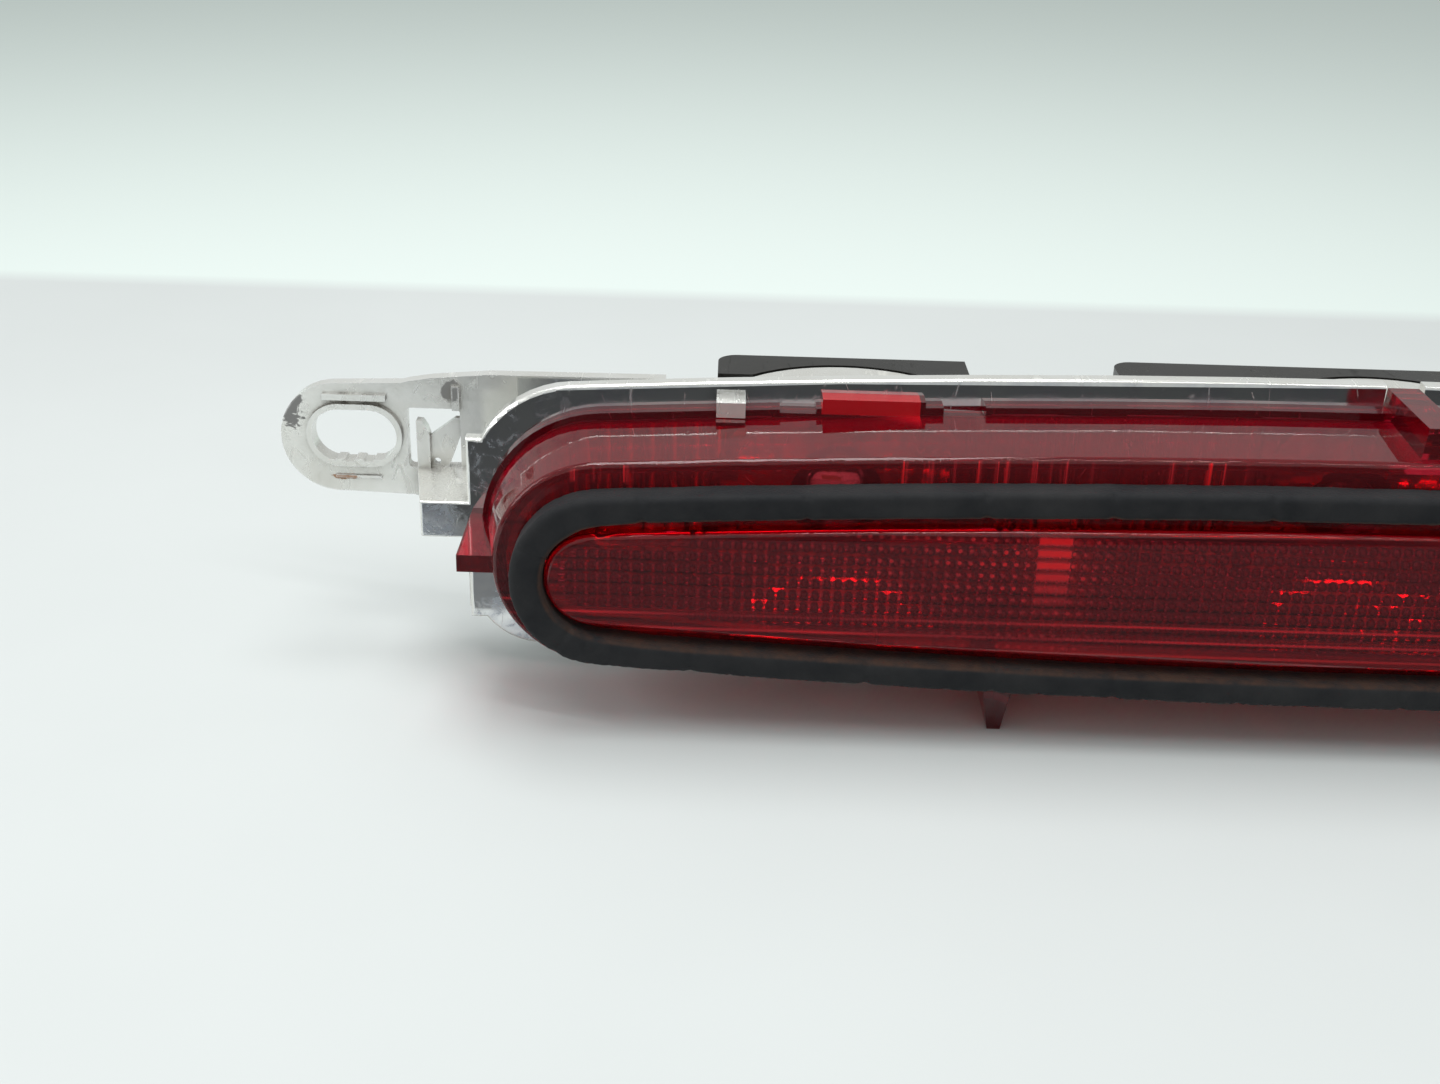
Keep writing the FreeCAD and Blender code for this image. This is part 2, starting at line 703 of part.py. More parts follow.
def connectorShell():
    yStart = yCross + stripThick
    yEnd = yStart + connectorDepth
    low = zConnector
    high = zConnector + connectorHeight
    outer = box(-connectorHalf, connectorHalf, yStart, yEnd, low, high)
    outer = outer.makeFillet(connectorRound, edgesWhere(outer, lambda b: b.YLength > 5))
    inner = box(-connectorHalf + connectorWall, connectorHalf - connectorWall,
                yStart + connectorFloor, yEnd + 1, low + connectorWall, high - connectorWall)
    key = box(-keyHalf, keyHalf, yStart + 4, yEnd - 1, high - 0.3, high + keyRise)
    feet = [box(-footHalf, footHalf, yPlateBack, yStart + 0.5, z, z + footBar)
            for z in (high - footBar - 0.2, low + footBar)]
    shell = joined([outer.cut(inner), key] + feet)
    pinRoom = pinHalf + pinGap
    for s in (-1, 1):
        shell = shell.cut(sideBox(s, pinX - pinRoom, pinX + pinRoom, yStart - 0.1, yStart + 3,
                                  zPin - pinThick - pinGap, zPin + pinThick + pinGap))
    return shell


def bulbGlass(x0):
    y1 = yWedge
    centre = y1 - glassLength + glassRadius
    body = rodY(glassRadius, centre, y1 - glassShoulder, x0)
    cap = Part.makeSphere(glassRadius, vec(x0, centre, 0))
    shoulder = Part.makeCone(glassRadius, wedgeHalf - 0.6, glassShoulder,
                             vec(x0, y1 - glassShoulder, 0), vec(0, 1, 0))
    wedge = box(x0 - wedgeHalf, x0 + wedgeHalf, y1 - glassShoulder, y1 + wedgeLength,
                -wedgeThick, wedgeThick)
    inside = glassRadius - glassWall
    hollow = joined([rodY(inside, centre, y1 - 2 * glassShoulder, x0),
                     Part.makeSphere(inside, vec(x0, centre, 0))])
    return joined([body, cap, shoulder, wedge]).cut(hollow)


def filamentCoil(x0):
    y = yWedge - glassLength + filamentBack
    return rodX(filamentRadius, x0 - filamentHalf, x0 + filamentHalf, y, 0)


def bulbWires(x0):
    # two posts that hold the filament, and the two leads folded along the wedge
    y = yWedge - glassLength + filamentBack
    wires = []
    for s in (-1, 1):
        wires.append(rodY(postRadius, y - 0.3, yWedge - 2 * glassShoulder, x0 + s * postX))
    for s in (-1, 1):
        wires.append(rodY(leadRadius, yWedge + 1.0, yWedge + wedgeLength - 0.2, x0 + s * leadX,
                          s * (wedgeThick + leadRadius)))
    return Part.makeCompound(wires)


def build():
    seal = lensSeal()
    nodes = {
        "reflector_housing": reflectorHousing(),
        "lens": lens().cut(seal),
        "lens_seal": seal,
        "panel_gasket": panelGasket(),
        "bulb_carrier": bulbCarrier(),
        "connector_shell": connectorShell(),
        "strip_live": conductorStrip(1),
        "strip_earth": conductorStrip(-1),
        "terminal_live": terminal(1),
        "terminal_earth": terminal(-1),
    }
    for n, x in enumerate(bulbXs, 1):
        nodes["bulb_glass_%d" % n] = bulbGlass(x)
        nodes["bulb_filament_%d" % n] = filamentCoil(x)
        nodes["bulb_posts_%d" % n] = bulbWires(x)
        nodes["socket_contacts_%d" % n] = socketContacts(x)
    return nodes


for name, shape in build().items():
    bounds = shape.BoundBox
    print(name, len(shape.Solids), "solids, valid", shape.isValid(), "volume", round(shape.Volume, 1),
          [round(v, 2) for v in (bounds.XMin, bounds.XMax, bounds.YMin, bounds.YMax, bounds.ZMin,
                                 bounds.ZMax)])
    shape.exportStep("parts/%s.step" % name)
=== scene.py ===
import bpy
import bmesh
import math
from mathutils import Matrix, Vector, noise


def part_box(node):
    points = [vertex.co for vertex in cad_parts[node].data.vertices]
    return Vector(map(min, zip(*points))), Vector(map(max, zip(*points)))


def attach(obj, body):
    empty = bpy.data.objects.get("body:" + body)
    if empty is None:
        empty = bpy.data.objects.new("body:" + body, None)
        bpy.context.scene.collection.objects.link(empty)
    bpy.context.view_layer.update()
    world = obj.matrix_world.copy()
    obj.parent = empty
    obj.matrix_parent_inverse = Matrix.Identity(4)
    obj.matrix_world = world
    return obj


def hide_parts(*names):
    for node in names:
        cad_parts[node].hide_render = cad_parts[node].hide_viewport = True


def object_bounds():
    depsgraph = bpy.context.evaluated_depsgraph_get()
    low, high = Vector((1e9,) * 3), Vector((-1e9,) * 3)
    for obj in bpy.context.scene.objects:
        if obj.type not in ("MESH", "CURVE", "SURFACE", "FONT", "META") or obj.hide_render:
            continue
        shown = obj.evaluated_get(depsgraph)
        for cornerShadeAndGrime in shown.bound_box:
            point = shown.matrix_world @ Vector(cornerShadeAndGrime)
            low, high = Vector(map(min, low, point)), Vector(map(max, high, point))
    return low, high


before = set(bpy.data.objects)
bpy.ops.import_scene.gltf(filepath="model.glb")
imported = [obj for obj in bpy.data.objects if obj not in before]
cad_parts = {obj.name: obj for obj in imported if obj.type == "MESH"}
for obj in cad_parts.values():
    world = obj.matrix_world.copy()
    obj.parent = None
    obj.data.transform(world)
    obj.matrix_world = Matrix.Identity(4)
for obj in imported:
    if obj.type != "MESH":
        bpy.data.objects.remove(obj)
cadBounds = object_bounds()
print("frame loaded")

mm = 0.001
lampBow = 2200 * mm      # radius of the long bowed edges, the same for every outline
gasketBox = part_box("panel_gasket")
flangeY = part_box("lens_seal")[1].y   # mirror face of the flange
floorZ = cadBounds[0].z


# camera, floor and light

cameraSet = {
    "place": (-112.75 * mm, -242.77 * mm, 119.41 * mm),
    "tilt": 24.6,          # degrees below level
    "roll": 1.7,
    "lens": 42.5,
    "sensor": 36.0,
}

stageSet = {
    "reach": 3.0,          # half size of the floor
    "farLine": 0.262,      # where the floor turns a little greener and lighter
    "nearColour": (0.61, 0.64, 0.635),
    "farColour": (0.71, 0.785, 0.755),
    "worldColour": (0.97, 1.0, 0.99),
    "worldStrength": 0.56,
    "keySize": (0.6, 0.34),
    "keyPlace": (-0.15, 0.05, 0.75),
    "keyPower": 3.9,
    "tubeSize": (0.9, 0.02),
    "tubePlace": (-0.1, -0.28, 0.55),
    "tubePower": 1.1,
    "sideSize": (0.5, 0.5),
    "sidePlace": (-0.95, -0.20, 0.42),
    "sidePower": 2.0,
    # dark sheets on the floor in front, seen only in what the lamp mirrors, where they paint dark
    # reflections: half width, near, far, tone
    "flags": (
        (0.178, -0.012, -0.095, 0.13),
        (0.215, -0.095, -0.20, 0.035),
        (1.2, -0.20, -1.6, 0.035),
    ),
}


def linkObject(name, data):
    made = bpy.data.objects.new(name, data)
    bpy.context.scene.collection.objects.link(made)
    return made


def makeCamera(settings):
    data = bpy.data.cameras.new("camera")
    data.sensor_width = settings["sensor"]
    data.lens = settings["lens"]
    camera = linkObject("camera", data)
    pitch = Matrix.Rotation(math.pi / 2 - math.radians(settings["tilt"]), 4, "X")
    turn = pitch @ Matrix.Rotation(math.radians(settings["roll"]), 4, "Z")
    turn.translation = settings["place"]
    camera.matrix_world = turn
    bpy.context.scene.camera = camera


def makeLight(name, size, place, power, target):
    data = bpy.data.lights.new(name, "AREA")
    data.shape = "RECTANGLE"
    data.size, data.size_y = size
    data.energy = power
    lamp = linkObject(name, data)
    lamp.location = place
    lamp.rotation_euler = (Vector(target) - Vector(place)).to_track_quat("-Z", "Y").to_euler()


# node helpers

def addNode(tree, kind, inputs=None, **settings):
    made = tree.nodes.new(kind)
    for name, value in settings.items():
        setattr(made, name, value)
    for key, value in (inputs or {}).items():
        if isinstance(value, bpy.types.NodeSocket):
            tree.links.new(value, made.inputs[key])
        else:
            made.inputs[key].default_value = value
    return made


def maths(tree, operation, a, b=0.0, clamp=False):
    kind = "ShaderNodeMath"
    return addNode(tree, kind, {0: a, 1: b}, operation=operation, use_clamp=clamp).outputs[0]


def ramp(tree, value, low, high, toLow=0.0, toHigh=1.0):
    ends = {0: value, 1: low, 2: high, 3: toLow, 4: toHigh}
    return addNode(tree, "ShaderNodeMapRange", ends, clamp=True).outputs[0]


def mixColour(tree, factor, a, b):
    return addNode(tree, "ShaderNodeMix", {0: factor, 6: a, 7: b}, data_type="RGBA").outputs[2]


def mixValue(tree, factor, a, b):
    return addNode(tree, "ShaderNodeMix", {0: factor, 2: a, 3: b}).outputs[0]


def noiseAt(tree, vector, scale, detail=3.0, rough=0.55, distortion=0.0):
    values = {"Vector": vector, "Scale": scale, "Detail": detail, "Roughness": rough,
              "Distortion": distortion}
    return addNode(tree, "ShaderNodeTexNoise", values).outputs[0]


def stretched(tree, vector, turn, scale):
    values = {"Vector": vector, "Rotation": turn, "Scale": scale}
    return addNode(tree, "ShaderNodeMapping", values).outputs[0]


def parts(tree, vector):
    return addNode(tree, "ShaderNodeSeparateXYZ", {0: vector}).outputs


def bump(tree, height, distance, strength=1.0, normal=None):
    values = {"Height": height, "Distance": distance, "Strength": strength}
    if normal is not None:
        values["Normal"] = normal
    return addNode(tree, "ShaderNodeBump", values).outputs[0]


def band(tree, value, centre, half, soft):
    # 1 within half of centre, fading over soft
    away = maths(tree, "ABSOLUTE", maths(tree, "SUBTRACT", value, centre))
    return ramp(tree, away, half, half + soft, 1.0, 0.0)


def newGroup(name, inputs, outputs):
    tree = bpy.data.node_groups.new(name, "ShaderNodeTree")
    for label, kind, value in inputs:
        socket = tree.interface.new_socket(label, in_out="INPUT", socket_type=kind)
        if value is not None:
            socket.default_value = value
    for label, kind in outputs:
        tree.interface.new_socket(label, in_out="OUTPUT", socket_type=kind)
    start = tree.nodes.new("NodeGroupInput")
    end = tree.nodes.new("NodeGroupOutput")
    return tree, start.outputs, end.inputs


def useGroup(tree, group, **inputs):
    made = addNode(tree, "ShaderNodeGroup", node_tree=group)
    for name, value in inputs.items():
        if isinstance(value, bpy.types.NodeSocket):
            tree.links.new(value, made.inputs[name])
        else:
            made.inputs[name].default_value = value
    return made.outputs


# effects that several finishes share

def scratchGroup():
    # hairline scratches in three directions, broken up in patches
    tree, given, out = newGroup(
        "hairScratches",
        [("Vector", "NodeSocketVector", None), ("Scale", "NodeSocketFloat", 90.0),
         ("Width", "NodeSocketFloat", 0.006), ("Amount", "NodeSocketFloat", 1.0)],
        [("Mask", "NodeSocketFloat")])
    total = None
    for turn, seed in ((0.35, 0.0), (1.25, 3.1), (2.3, 7.7)):
        long = stretched(tree, given["Vector"], (turn, turn * 1.7, turn * 0.6), (1.0, 0.05, 0.35))
        moved = addNode(tree, "ShaderNodeVectorMath", {0: long, 1: (seed, seed, seed)},
                        operation="ADD")
        grain = noiseAt(tree, moved.outputs[0], given["Scale"], 2.0, 0.4, 0.3)
        away = maths(tree, "ABSOLUTE", maths(tree, "SUBTRACT", grain, 0.5))
        line = addNode(tree, "ShaderNodeMapRange",
                       {0: away, 1: 0.0, 2: given["Width"], 3: 1.0, 4: 0.0}, clamp=True).outputs[0]
        patch = ramp(tree, noiseAt(tree, given["Vector"], 140.0 + 40 * seed, 2.0), 0.52, 0.62)
        line = maths(tree, "MULTIPLY", line, patch)
        total = line if total is None else maths(tree, "MAXIMUM", total, line)
    tree.links.new(maths(tree, "MULTIPLY", total, given["Amount"], True), out["Mask"])
    return tree


def dustGroup():
    # fine specks that lie thickest where the surface faces up
    tree, given, out = newGroup(
        "settledDust",
        [("Vector", "NodeSocketVector", None), ("Normal", "NodeSocketVector", None),
         ("Scale", "NodeSocketFloat", 900.0), ("Amount", "NodeSocketFloat", 1.0)],
        [("Mask", "NodeSocketFloat")])
    specks = ramp(tree, noiseAt(tree, given["Vector"], given["Scale"], 4.0, 0.7), 0.60, 0.72)
    patch = ramp(tree, noiseAt(tree, given["Vector"], 45.0, 3.0), 0.40, 0.68)
    up = ramp(tree, parts(tree, given["Normal"])[2], -0.2, 0.9, 0.25, 1.0)
    mask = maths(tree, "MULTIPLY", maths(tree, "MULTIPLY", specks, patch), up)
    tree.links.new(maths(tree, "MULTIPLY", mask, given["Amount"], True), out["Mask"])
    return tree


def grainGroup():
    # moulded or cast skin
    tree, given, out = newGroup(
        "mouldGrain",
        [("Vector", "NodeSocketVector", None), ("Scale", "NodeSocketFloat", 2500.0)],
        [("Height", "NodeSocketFloat")])
    fine = noiseAt(tree, given["Vector"], given["Scale"], 3.0, 0.6)
    broad = noiseAt(tree, given["Vector"], 120.0, 2.0)
    height = maths(tree, "ADD", fine, maths(tree, "MULTIPLY", broad, 0.8))
    tree.links.new(height, out["Height"])
    return tree


def edgeGroup():
    # rubbed corners and painted edge highlights: where a rounded-over normal leaves the real one
    tree, given, out = newGroup(
        "rubbedEdgesAndHighlights",
        [("Vector", "NodeSocketVector", None), ("Radius", "NodeSocketFloat", 0.0006),
         ("Amount", "NodeSocketFloat", 1.0)],
        [("Mask", "NodeSocketFloat")])
    over = addNode(tree, "ShaderNodeBevel", {"Radius": given["Radius"]}, samples=4).outputs[0]
    true = addNode(tree, "ShaderNodeNewGeometry").outputs["Normal"]
    dot = addNode(tree, "ShaderNodeVectorMath", {0: over, 1: true}, operation="DOT_PRODUCT")
    edge = ramp(tree, dot.outputs["Value"], 0.995, 0.90)
    broken = ramp(tree, noiseAt(tree, given["Vector"], 420.0, 3.0, 0.6), 0.36, 0.56)
    mask = maths(tree, "MULTIPLY", edge, broken)
    tree.links.new(maths(tree, "MULTIPLY", mask, given["Amount"], True), out["Mask"])
    return tree


def creaseGroup():
    # painted shade in inner corners, tinted like dirt that gathers there
    tree, given, out = newGroup(
        "creaseShadeAndGrime",
        [("Vector", "NodeSocketVector", None), ("Reach", "NodeSocketFloat", 0.0025),
         ("Amount", "NodeSocketFloat", 1.0)],
        [("Mask", "NodeSocketFloat")])
    openness = addNode(tree, "ShaderNodeAmbientOcclusion", {"Distance": given["Reach"]}, samples=4,
                       only_local=True).outputs["AO"]
    deep = ramp(tree, openness, 0.82, 0.45)
    broken = ramp(tree, noiseAt(tree, given["Vector"], 300.0, 4.0, 0.65), 0.30, 0.60)
    mask = maths(tree, "MULTIPLY", deep, broken)
    tree.links.new(maths(tree, "MULTIPLY", mask, given["Amount"], True), out["Mask"])
    return tree


scratches = scratchGroup()
dust = dustGroup()
grain = grainGroup()
edgeWearAndHighlight = edgeGroup()
creaseShadeGroup = creaseGroup()
print("shared effects built")


def newFinish(name, **sockets):
    made = bpy.data.materials.new(name)
    made.use_nodes = True
    tree = made.node_tree
    shader = tree.nodes["Principled BSDF"]
    for label, value in sockets.items():
        shader.inputs[label.replace("_", " ")].default_value = value
    where = addNode(tree, "ShaderNodeTexCoord").outputs
    return made, tree, shader, where["Object"], where["Normal"]


def feed(tree, shader, **sockets):
    for label, value in sockets.items():
        tree.links.new(value, shader.inputs[label.replace("_", " ")])


mirrorSet = {
    "innerHalf": 148.6 * mm,                   # how far the bright inside reaches from the middle
    "innerHeight": 21.2 * mm,
    "innerBack": 47.0 * mm,
    # colour of the painted highlight along the edges
    "edgeHighlight": (0.86, 0.87, 0.86, 1),
    "speck": (0.30, 0.28, 0.25, 1),
    "hazyEnds": (126.0 * mm, 150.0 * mm),      # the flange is frosted towards its ends
    "leanFrom": (-27.0 * mm, -22.0 * mm),
    "bright": (0.80, 0.81, 0.80, 1),
    "smoky": (0.52, 0.54, 0.60, 1),
    "cast": (0.89, 0.90, 0.875, 1),
    "castWarm": (0.72, 0.71, 0.66, 1),
    "worn": (0.20, 0.20, 0.195, 1),
    "rust": (0.30, 0.12, 0.03, 1),
    # colour of the painted shade in inner corners, tinted like dirt
    "shadeAndGrime": (0.17, 0.15, 0.12, 1),
    "frost": (0.36, 0.40, 0.47, 1),
    "lean": 0.10,                              # how far the front's shading normal leans up
    "wornPlace": (-188.6 * mm, 15.0 * mm),     # rubbed patch near the ear's tip
    "darkPlace": (-160.5 * mm, 18.5 * mm),     # dark spot beside the rail
    "rustPlace": (-180.0 * mm, 1.9 * mm),      # rust in the lower groove
}


def spot(tree, x, z, place, reachX, reachZ):
    # 1 at a place on the front, falling to 0 at its reach
    dx = maths(tree, "DIVIDE", maths(tree, "SUBTRACT", x, place[0]), reachX)
    dz = maths(tree, "DIVIDE", maths(tree, "SUBTRACT", z, place[1]), reachZ)
    square = maths(tree, "ADD", maths(tree, "MULTIPLY", dx, dx), maths(tree, "MULTIPLY", dz, dz))
    return ramp(tree, square, 0.0, 1.0, 1.0, 0.0)


def metallisedPlastic(settings):
    made, tree, shader, here, normal = newFinish("metallisedPlastic", Metallic=1.0, IOR=1.5)
    x, y, z = parts(tree, here)
    ny = parts(tree, normal)[1]
    facing = ramp(tree, ny, -0.90, -0.985)
    onFlange = maths(tree, "MULTIPLY", facing, band(tree, y, flangeY, 0.3 * mm, 0.2 * mm))
    inX = band(tree, x, 0.0, settings["innerHalf"], 0.3 * mm)
    inZ = band(tree, z, 0.0, settings["innerHeight"], 0.3 * mm)
    back = settings["innerBack"]
    inY = ramp(tree, y, back, back + 1.0 * mm, 1.0, 0.0)
    inward = ramp(tree, ny, 0.0, 0.05, 1.0, 0.0)
    inside = maths(tree, "MULTIPLY", maths(tree, "MULTIPLY", inX, inZ),
                   maths(tree, "MULTIPLY", inY, inward))
    polished = maths(tree, "MAXIMUM", onFlange, inside)
    smudge = ramp(tree, noiseAt(tree, here, 60.0, 5.0, 0.65, 0.6), 0.42, 0.66)
    lines = useGroup(tree, scratches, Vector=here, Scale=110.0, Width=0.010, Amount=1.0)["Mask"]
    specks = useGroup(tree, dust, Vector=here, Normal=normal, Scale=1400.0, Amount=0.8)["Mask"]
    skin = useGroup(tree, grain, Vector=here, Scale=1800.0)["Height"]
    edge = useGroup(tree, edgeWearAndHighlight, Vector=here, Radius=0.5 * mm, Amount=0.8)["Mask"]
    # painted shade in inner corners, tinted like dirt, kept off the polished inside
    cornerShadeAndGrime = useGroup(tree, creaseShadeGroup, Vector=here, Reach=3.0 * mm, Amount=1.0)["Mask"]
    cornerShadeAndGrime = maths(tree, "MULTIPLY", cornerShadeAndGrime, maths(tree, "SUBTRACT", 1.0, inside))
    endness = ramp(tree, maths(tree, "ABSOLUTE", x), *settings["hazyEnds"], 0.15, 1.0)
    frost = ramp(tree, noiseAt(tree, here, 210.0, 7.0, 0.72, 1.2), 0.50, 0.62)
    frost = maths(tree, "MULTIPLY", maths(tree, "MULTIPLY", frost, endness), onFlange)
    mirror = mixColour(tree, smudge, settings["bright"], settings["smoky"])
    mirror = mixColour(tree, maths(tree, "MULTIPLY", frost, 0.6), mirror, settings["frost"])
    patchy = ramp(tree, noiseAt(tree, here, 38.0, 4.0, 0.6), 0.35, 0.7)
    cast = mixColour(tree, patchy, settings["cast"], settings["castWarm"])
    colour = mixColour(tree, polished, cast, mirror)
    ragged = noiseAt(tree, here, 520.0, 4.0, 0.7, 0.8)
    worn = spot(tree, x, z, settings["wornPlace"], 3.4 * mm, 9.5 * mm)
    worn = ramp(tree, maths(tree, "ADD", maths(tree, "MULTIPLY", worn, 0.6), ragged), 0.94, 0.99)
    dark = spot(tree, x, z, settings["darkPlace"], 2.6 * mm, 3.0 * mm)
    dark = ramp(tree, maths(tree, "ADD", dark, ragged), 0.95, 1.15)
    stain = spot(tree, x, z, settings["rustPlace"], 3.4 * mm, 0.9 * mm)
    stain = ramp(tree, maths(tree, "ADD", maths(tree, "MULTIPLY", stain, 0.6), ragged), 0.85, 0.95)
    forward = ramp(tree, ny, -0.5, -0.8)
    rubbedAll = maths(tree, "MULTIPLY", maths(tree, "MAXIMUM", worn, dark), forward)
    colour = mixColour(tree, rubbedAll, colour, settings["worn"])
    colour = mixColour(tree, maths(tree, "MULTIPLY", stain, forward), colour, settings["rust"])
    colour = mixColour(tree, maths(tree, "MULTIPLY", specks, 0.35), colour, settings["speck"])
    colour = mixColour(tree, cornerShadeAndGrime, colour, settings["shadeAndGrime"])
    # painted highlight along the edges, over some rubbed wear
    colour = mixColour(tree, edge, colour, settings["edgeHighlight"])
    polishedRough = ramp(tree, smudge, 0.0, 1.0, 0.045, 0.16)
    castRough = ramp(tree, patchy, 0.0, 1.0, 0.17, 0.30)
    rough = mixValue(tree, polished, castRough, polishedRough)
    dulled = maths(tree, "MAXIMUM", lines, frost)
    rough = maths(tree, "ADD", rough, maths(tree, "MULTIPLY", dulled, 0.25))
    spoiled = maths(tree, "MAXIMUM", rubbedAll, stain)
    rough = maths(tree, "ADD", rough, maths(tree, "MULTIPLY", specks, 0.2))
    rough = maths(tree, "ADD", rough, maths(tree, "MULTIPLY", spoiled, 0.3), True)
    metal = maths(tree, "MULTIPLY", ramp(tree, spoiled, 0.0, 1.0, 1.0, 0.1),
                  ramp(tree, polished, 0.0, 1.0, 0.72, 1.0))
    depth = mixValue(tree, polished, 1.0, 0.04)
    height = maths(tree, "MULTIPLY", skin, depth)
    height = maths(tree, "SUBTRACT", height, maths(tree, "MULTIPLY", lines, 0.35))
    lean = maths(tree, "MULTIPLY", maths(tree, "MULTIPLY", onFlange, settings["lean"]),
                 ramp(tree, z, *settings["leanFrom"]))
    upward = addNode(tree, "ShaderNodeCombineXYZ", {2: lean}).outputs[0]
    true = addNode(tree, "ShaderNodeNewGeometry").outputs["Normal"]
    leant = addNode(tree, "ShaderNodeVectorMath", {0: true, 1: upward}, operation="ADD").outputs[0]
    leant = addNode(tree, "ShaderNodeVectorMath", {0: leant}, operation="NORMALIZE").outputs[0]
    feed(tree, shader, Base_Color=colour, Roughness=rough, Metallic=metal,
         Normal=bump(tree, height, 0.010 * mm, 1.0, leant))
    return made


lensSet = {
    "red": (0.66, 0.007, 0.030, 1),
    "through": 0.91,           # the rest scatters in the plastic
    "ior": 1.49,
    "clear": 0.03,
    "hazy": 0.20,
    "used": 0.55,              # how much it is scratched and dusty
    # colours of the painted highlights and the painted shade on the front
    "lit": (1.0, 0.012, 0.014, 1),
    "unlit": (0.13, 0.030, 0.034, 1),
    "film": (0.42, 0.13, 0.14, 1),
    "clip": (-88.5 * mm, 8.1 * mm, 22 * mm),    # the snap block: middle, half length, lowest height
    "frontDepth": 10 * mm,     # the front faces lie before this depth
    # painted highlight streaks: middle and half width of each run
    "flutes": ((-72 * mm, 15 * mm), (-131 * mm, 4 * mm), (-37 * mm, 4 * mm)),
    "bandLow": 15.5 * mm,      # the band over the gasket starts above this height
    "windowTop": 12.5 * mm,
    "pitchX": 1.8 * mm,
    "pitchZ": 2.1 * mm,
    "dot": 0.36 * mm,
    # painted reflection column: middle and half width, and how far the painted glow of the dots runs
    # left and right of it
    "column": (-59.8 * mm, 2.5 * mm),
    "glowLeft": 58 * mm,
    "glowRight": 9 * mm,
    # heights of the painted bright lines between rows
    "lines": (-5.2 * mm, -7.8 * mm, -10.4 * mm),
}


def flutesOn(tree, settings, x, z, here):
    # painted highlights: upright bright streaks, as flutes catching the light, on the band over the
    # gasket
    upright = noiseAt(tree, stretched(tree, here, (0, 0, 0), (1.0, 0.0, 0.0)), 480.0, 3.0, 0.7)
    where = 0.0
    for middle, reach in settings["flutes"]:
        where = maths(tree, "MAXIMUM", where, band(tree, x, middle, reach, 4 * mm))
    flute = maths(tree, "MULTIPLY", ramp(tree, upright, 0.52, 0.66), where)
    low = settings["bandLow"]
    return maths(tree, "MULTIPLY", flute, ramp(tree, z, low, low + 0.5 * mm))


def lensletHighlightsAndShadeOn(tree, settings, x, z, here):
    # painted highlights and shade: lit dots in rows, a bright column of dashes as a painted
    # reflection, and painted dark and bright lines between rows
    cellX = maths(tree, "FRACT", maths(tree, "DIVIDE", x, settings["pitchX"]))
    cellZ = maths(tree, "FRACT", maths(tree, "DIVIDE", z, settings["pitchZ"]))
    awayX = maths(tree, "MULTIPLY", maths(tree, "SUBTRACT", cellX, 0.5), settings["pitchX"])
    awayZ = maths(tree, "MULTIPLY", maths(tree, "SUBTRACT", cellZ, 0.5), settings["pitchZ"])
    away = maths(tree, "SQRT", maths(tree, "ADD", maths(tree, "MULTIPLY", awayX, awayX),
                                     maths(tree, "MULTIPLY", awayZ, awayZ)))
    dots = ramp(tree, away, settings["dot"] * 0.7, settings["dot"] * 1.3, 1.0, 0.0)
    middle, half = settings["column"]
    left = ramp(tree, x, middle - settings["glowLeft"], middle, 0.10, 0.85)
    right = ramp(tree, x, middle + half, middle + half + settings["glowRight"], 1.0, 0.16)
    glow = maths(tree, "MULTIPLY", left, right)
    # the painted highlights weaken towards the bottom
    upper = ramp(tree, z, -8 * mm, 7 * mm, 0.35, 1.0)
    patchy = ramp(tree, noiseAt(tree, here, 210.0, 3.0, 0.7), 0.38, 0.60, 0.15, 1.0)
    for fade in (glow, upper, patchy):
        dots = maths(tree, "MULTIPLY", dots, fade)
    offRow = maths(tree, "ABSOLUTE", awayZ)
    dashes = maths(tree, "MULTIPLY", band(tree, x, middle, half, 0.3 * mm),
                   ramp(tree, offRow, 0.35 * mm, 0.85 * mm, 1.0, 0.12))
    dashes = maths(tree, "MULTIPLY", dashes, ramp(tree, z, -3.5 * mm, 5 * mm, 0.0, 0.75))
    bright = maths(tree, "MAXIMUM", dots, dashes)
    long = noiseAt(tree, stretched(tree, here, (0, 0, 0), (0.12, 1.0, 1.0)), 160.0, 2.0)
    broken = ramp(tree, long, 0.35, 0.6, 0.1, 0.5)
    for height in settings["lines"]:
        line = maths(tree, "MULTIPLY", band(tree, z, height, 0.08 * mm, 0.3 * mm), broken)
        bright = maths(tree, "MAXIMUM", bright, line)
    # painted shade in the gaps between rows
    gaps = ramp(tree, offRow, 0.65 * mm, 1.0 * mm)
    gaps = maths(tree, "MULTIPLY", gaps, ramp(tree, long, 0.40, 0.62, 0.15, 0.8))
    onWindow = band(tree, z, 0.0, settings["windowTop"], 0.5 * mm)
    return maths(tree, "MULTIPLY", bright, onWindow), maths(tree, "MULTIPLY", gaps, onWindow)


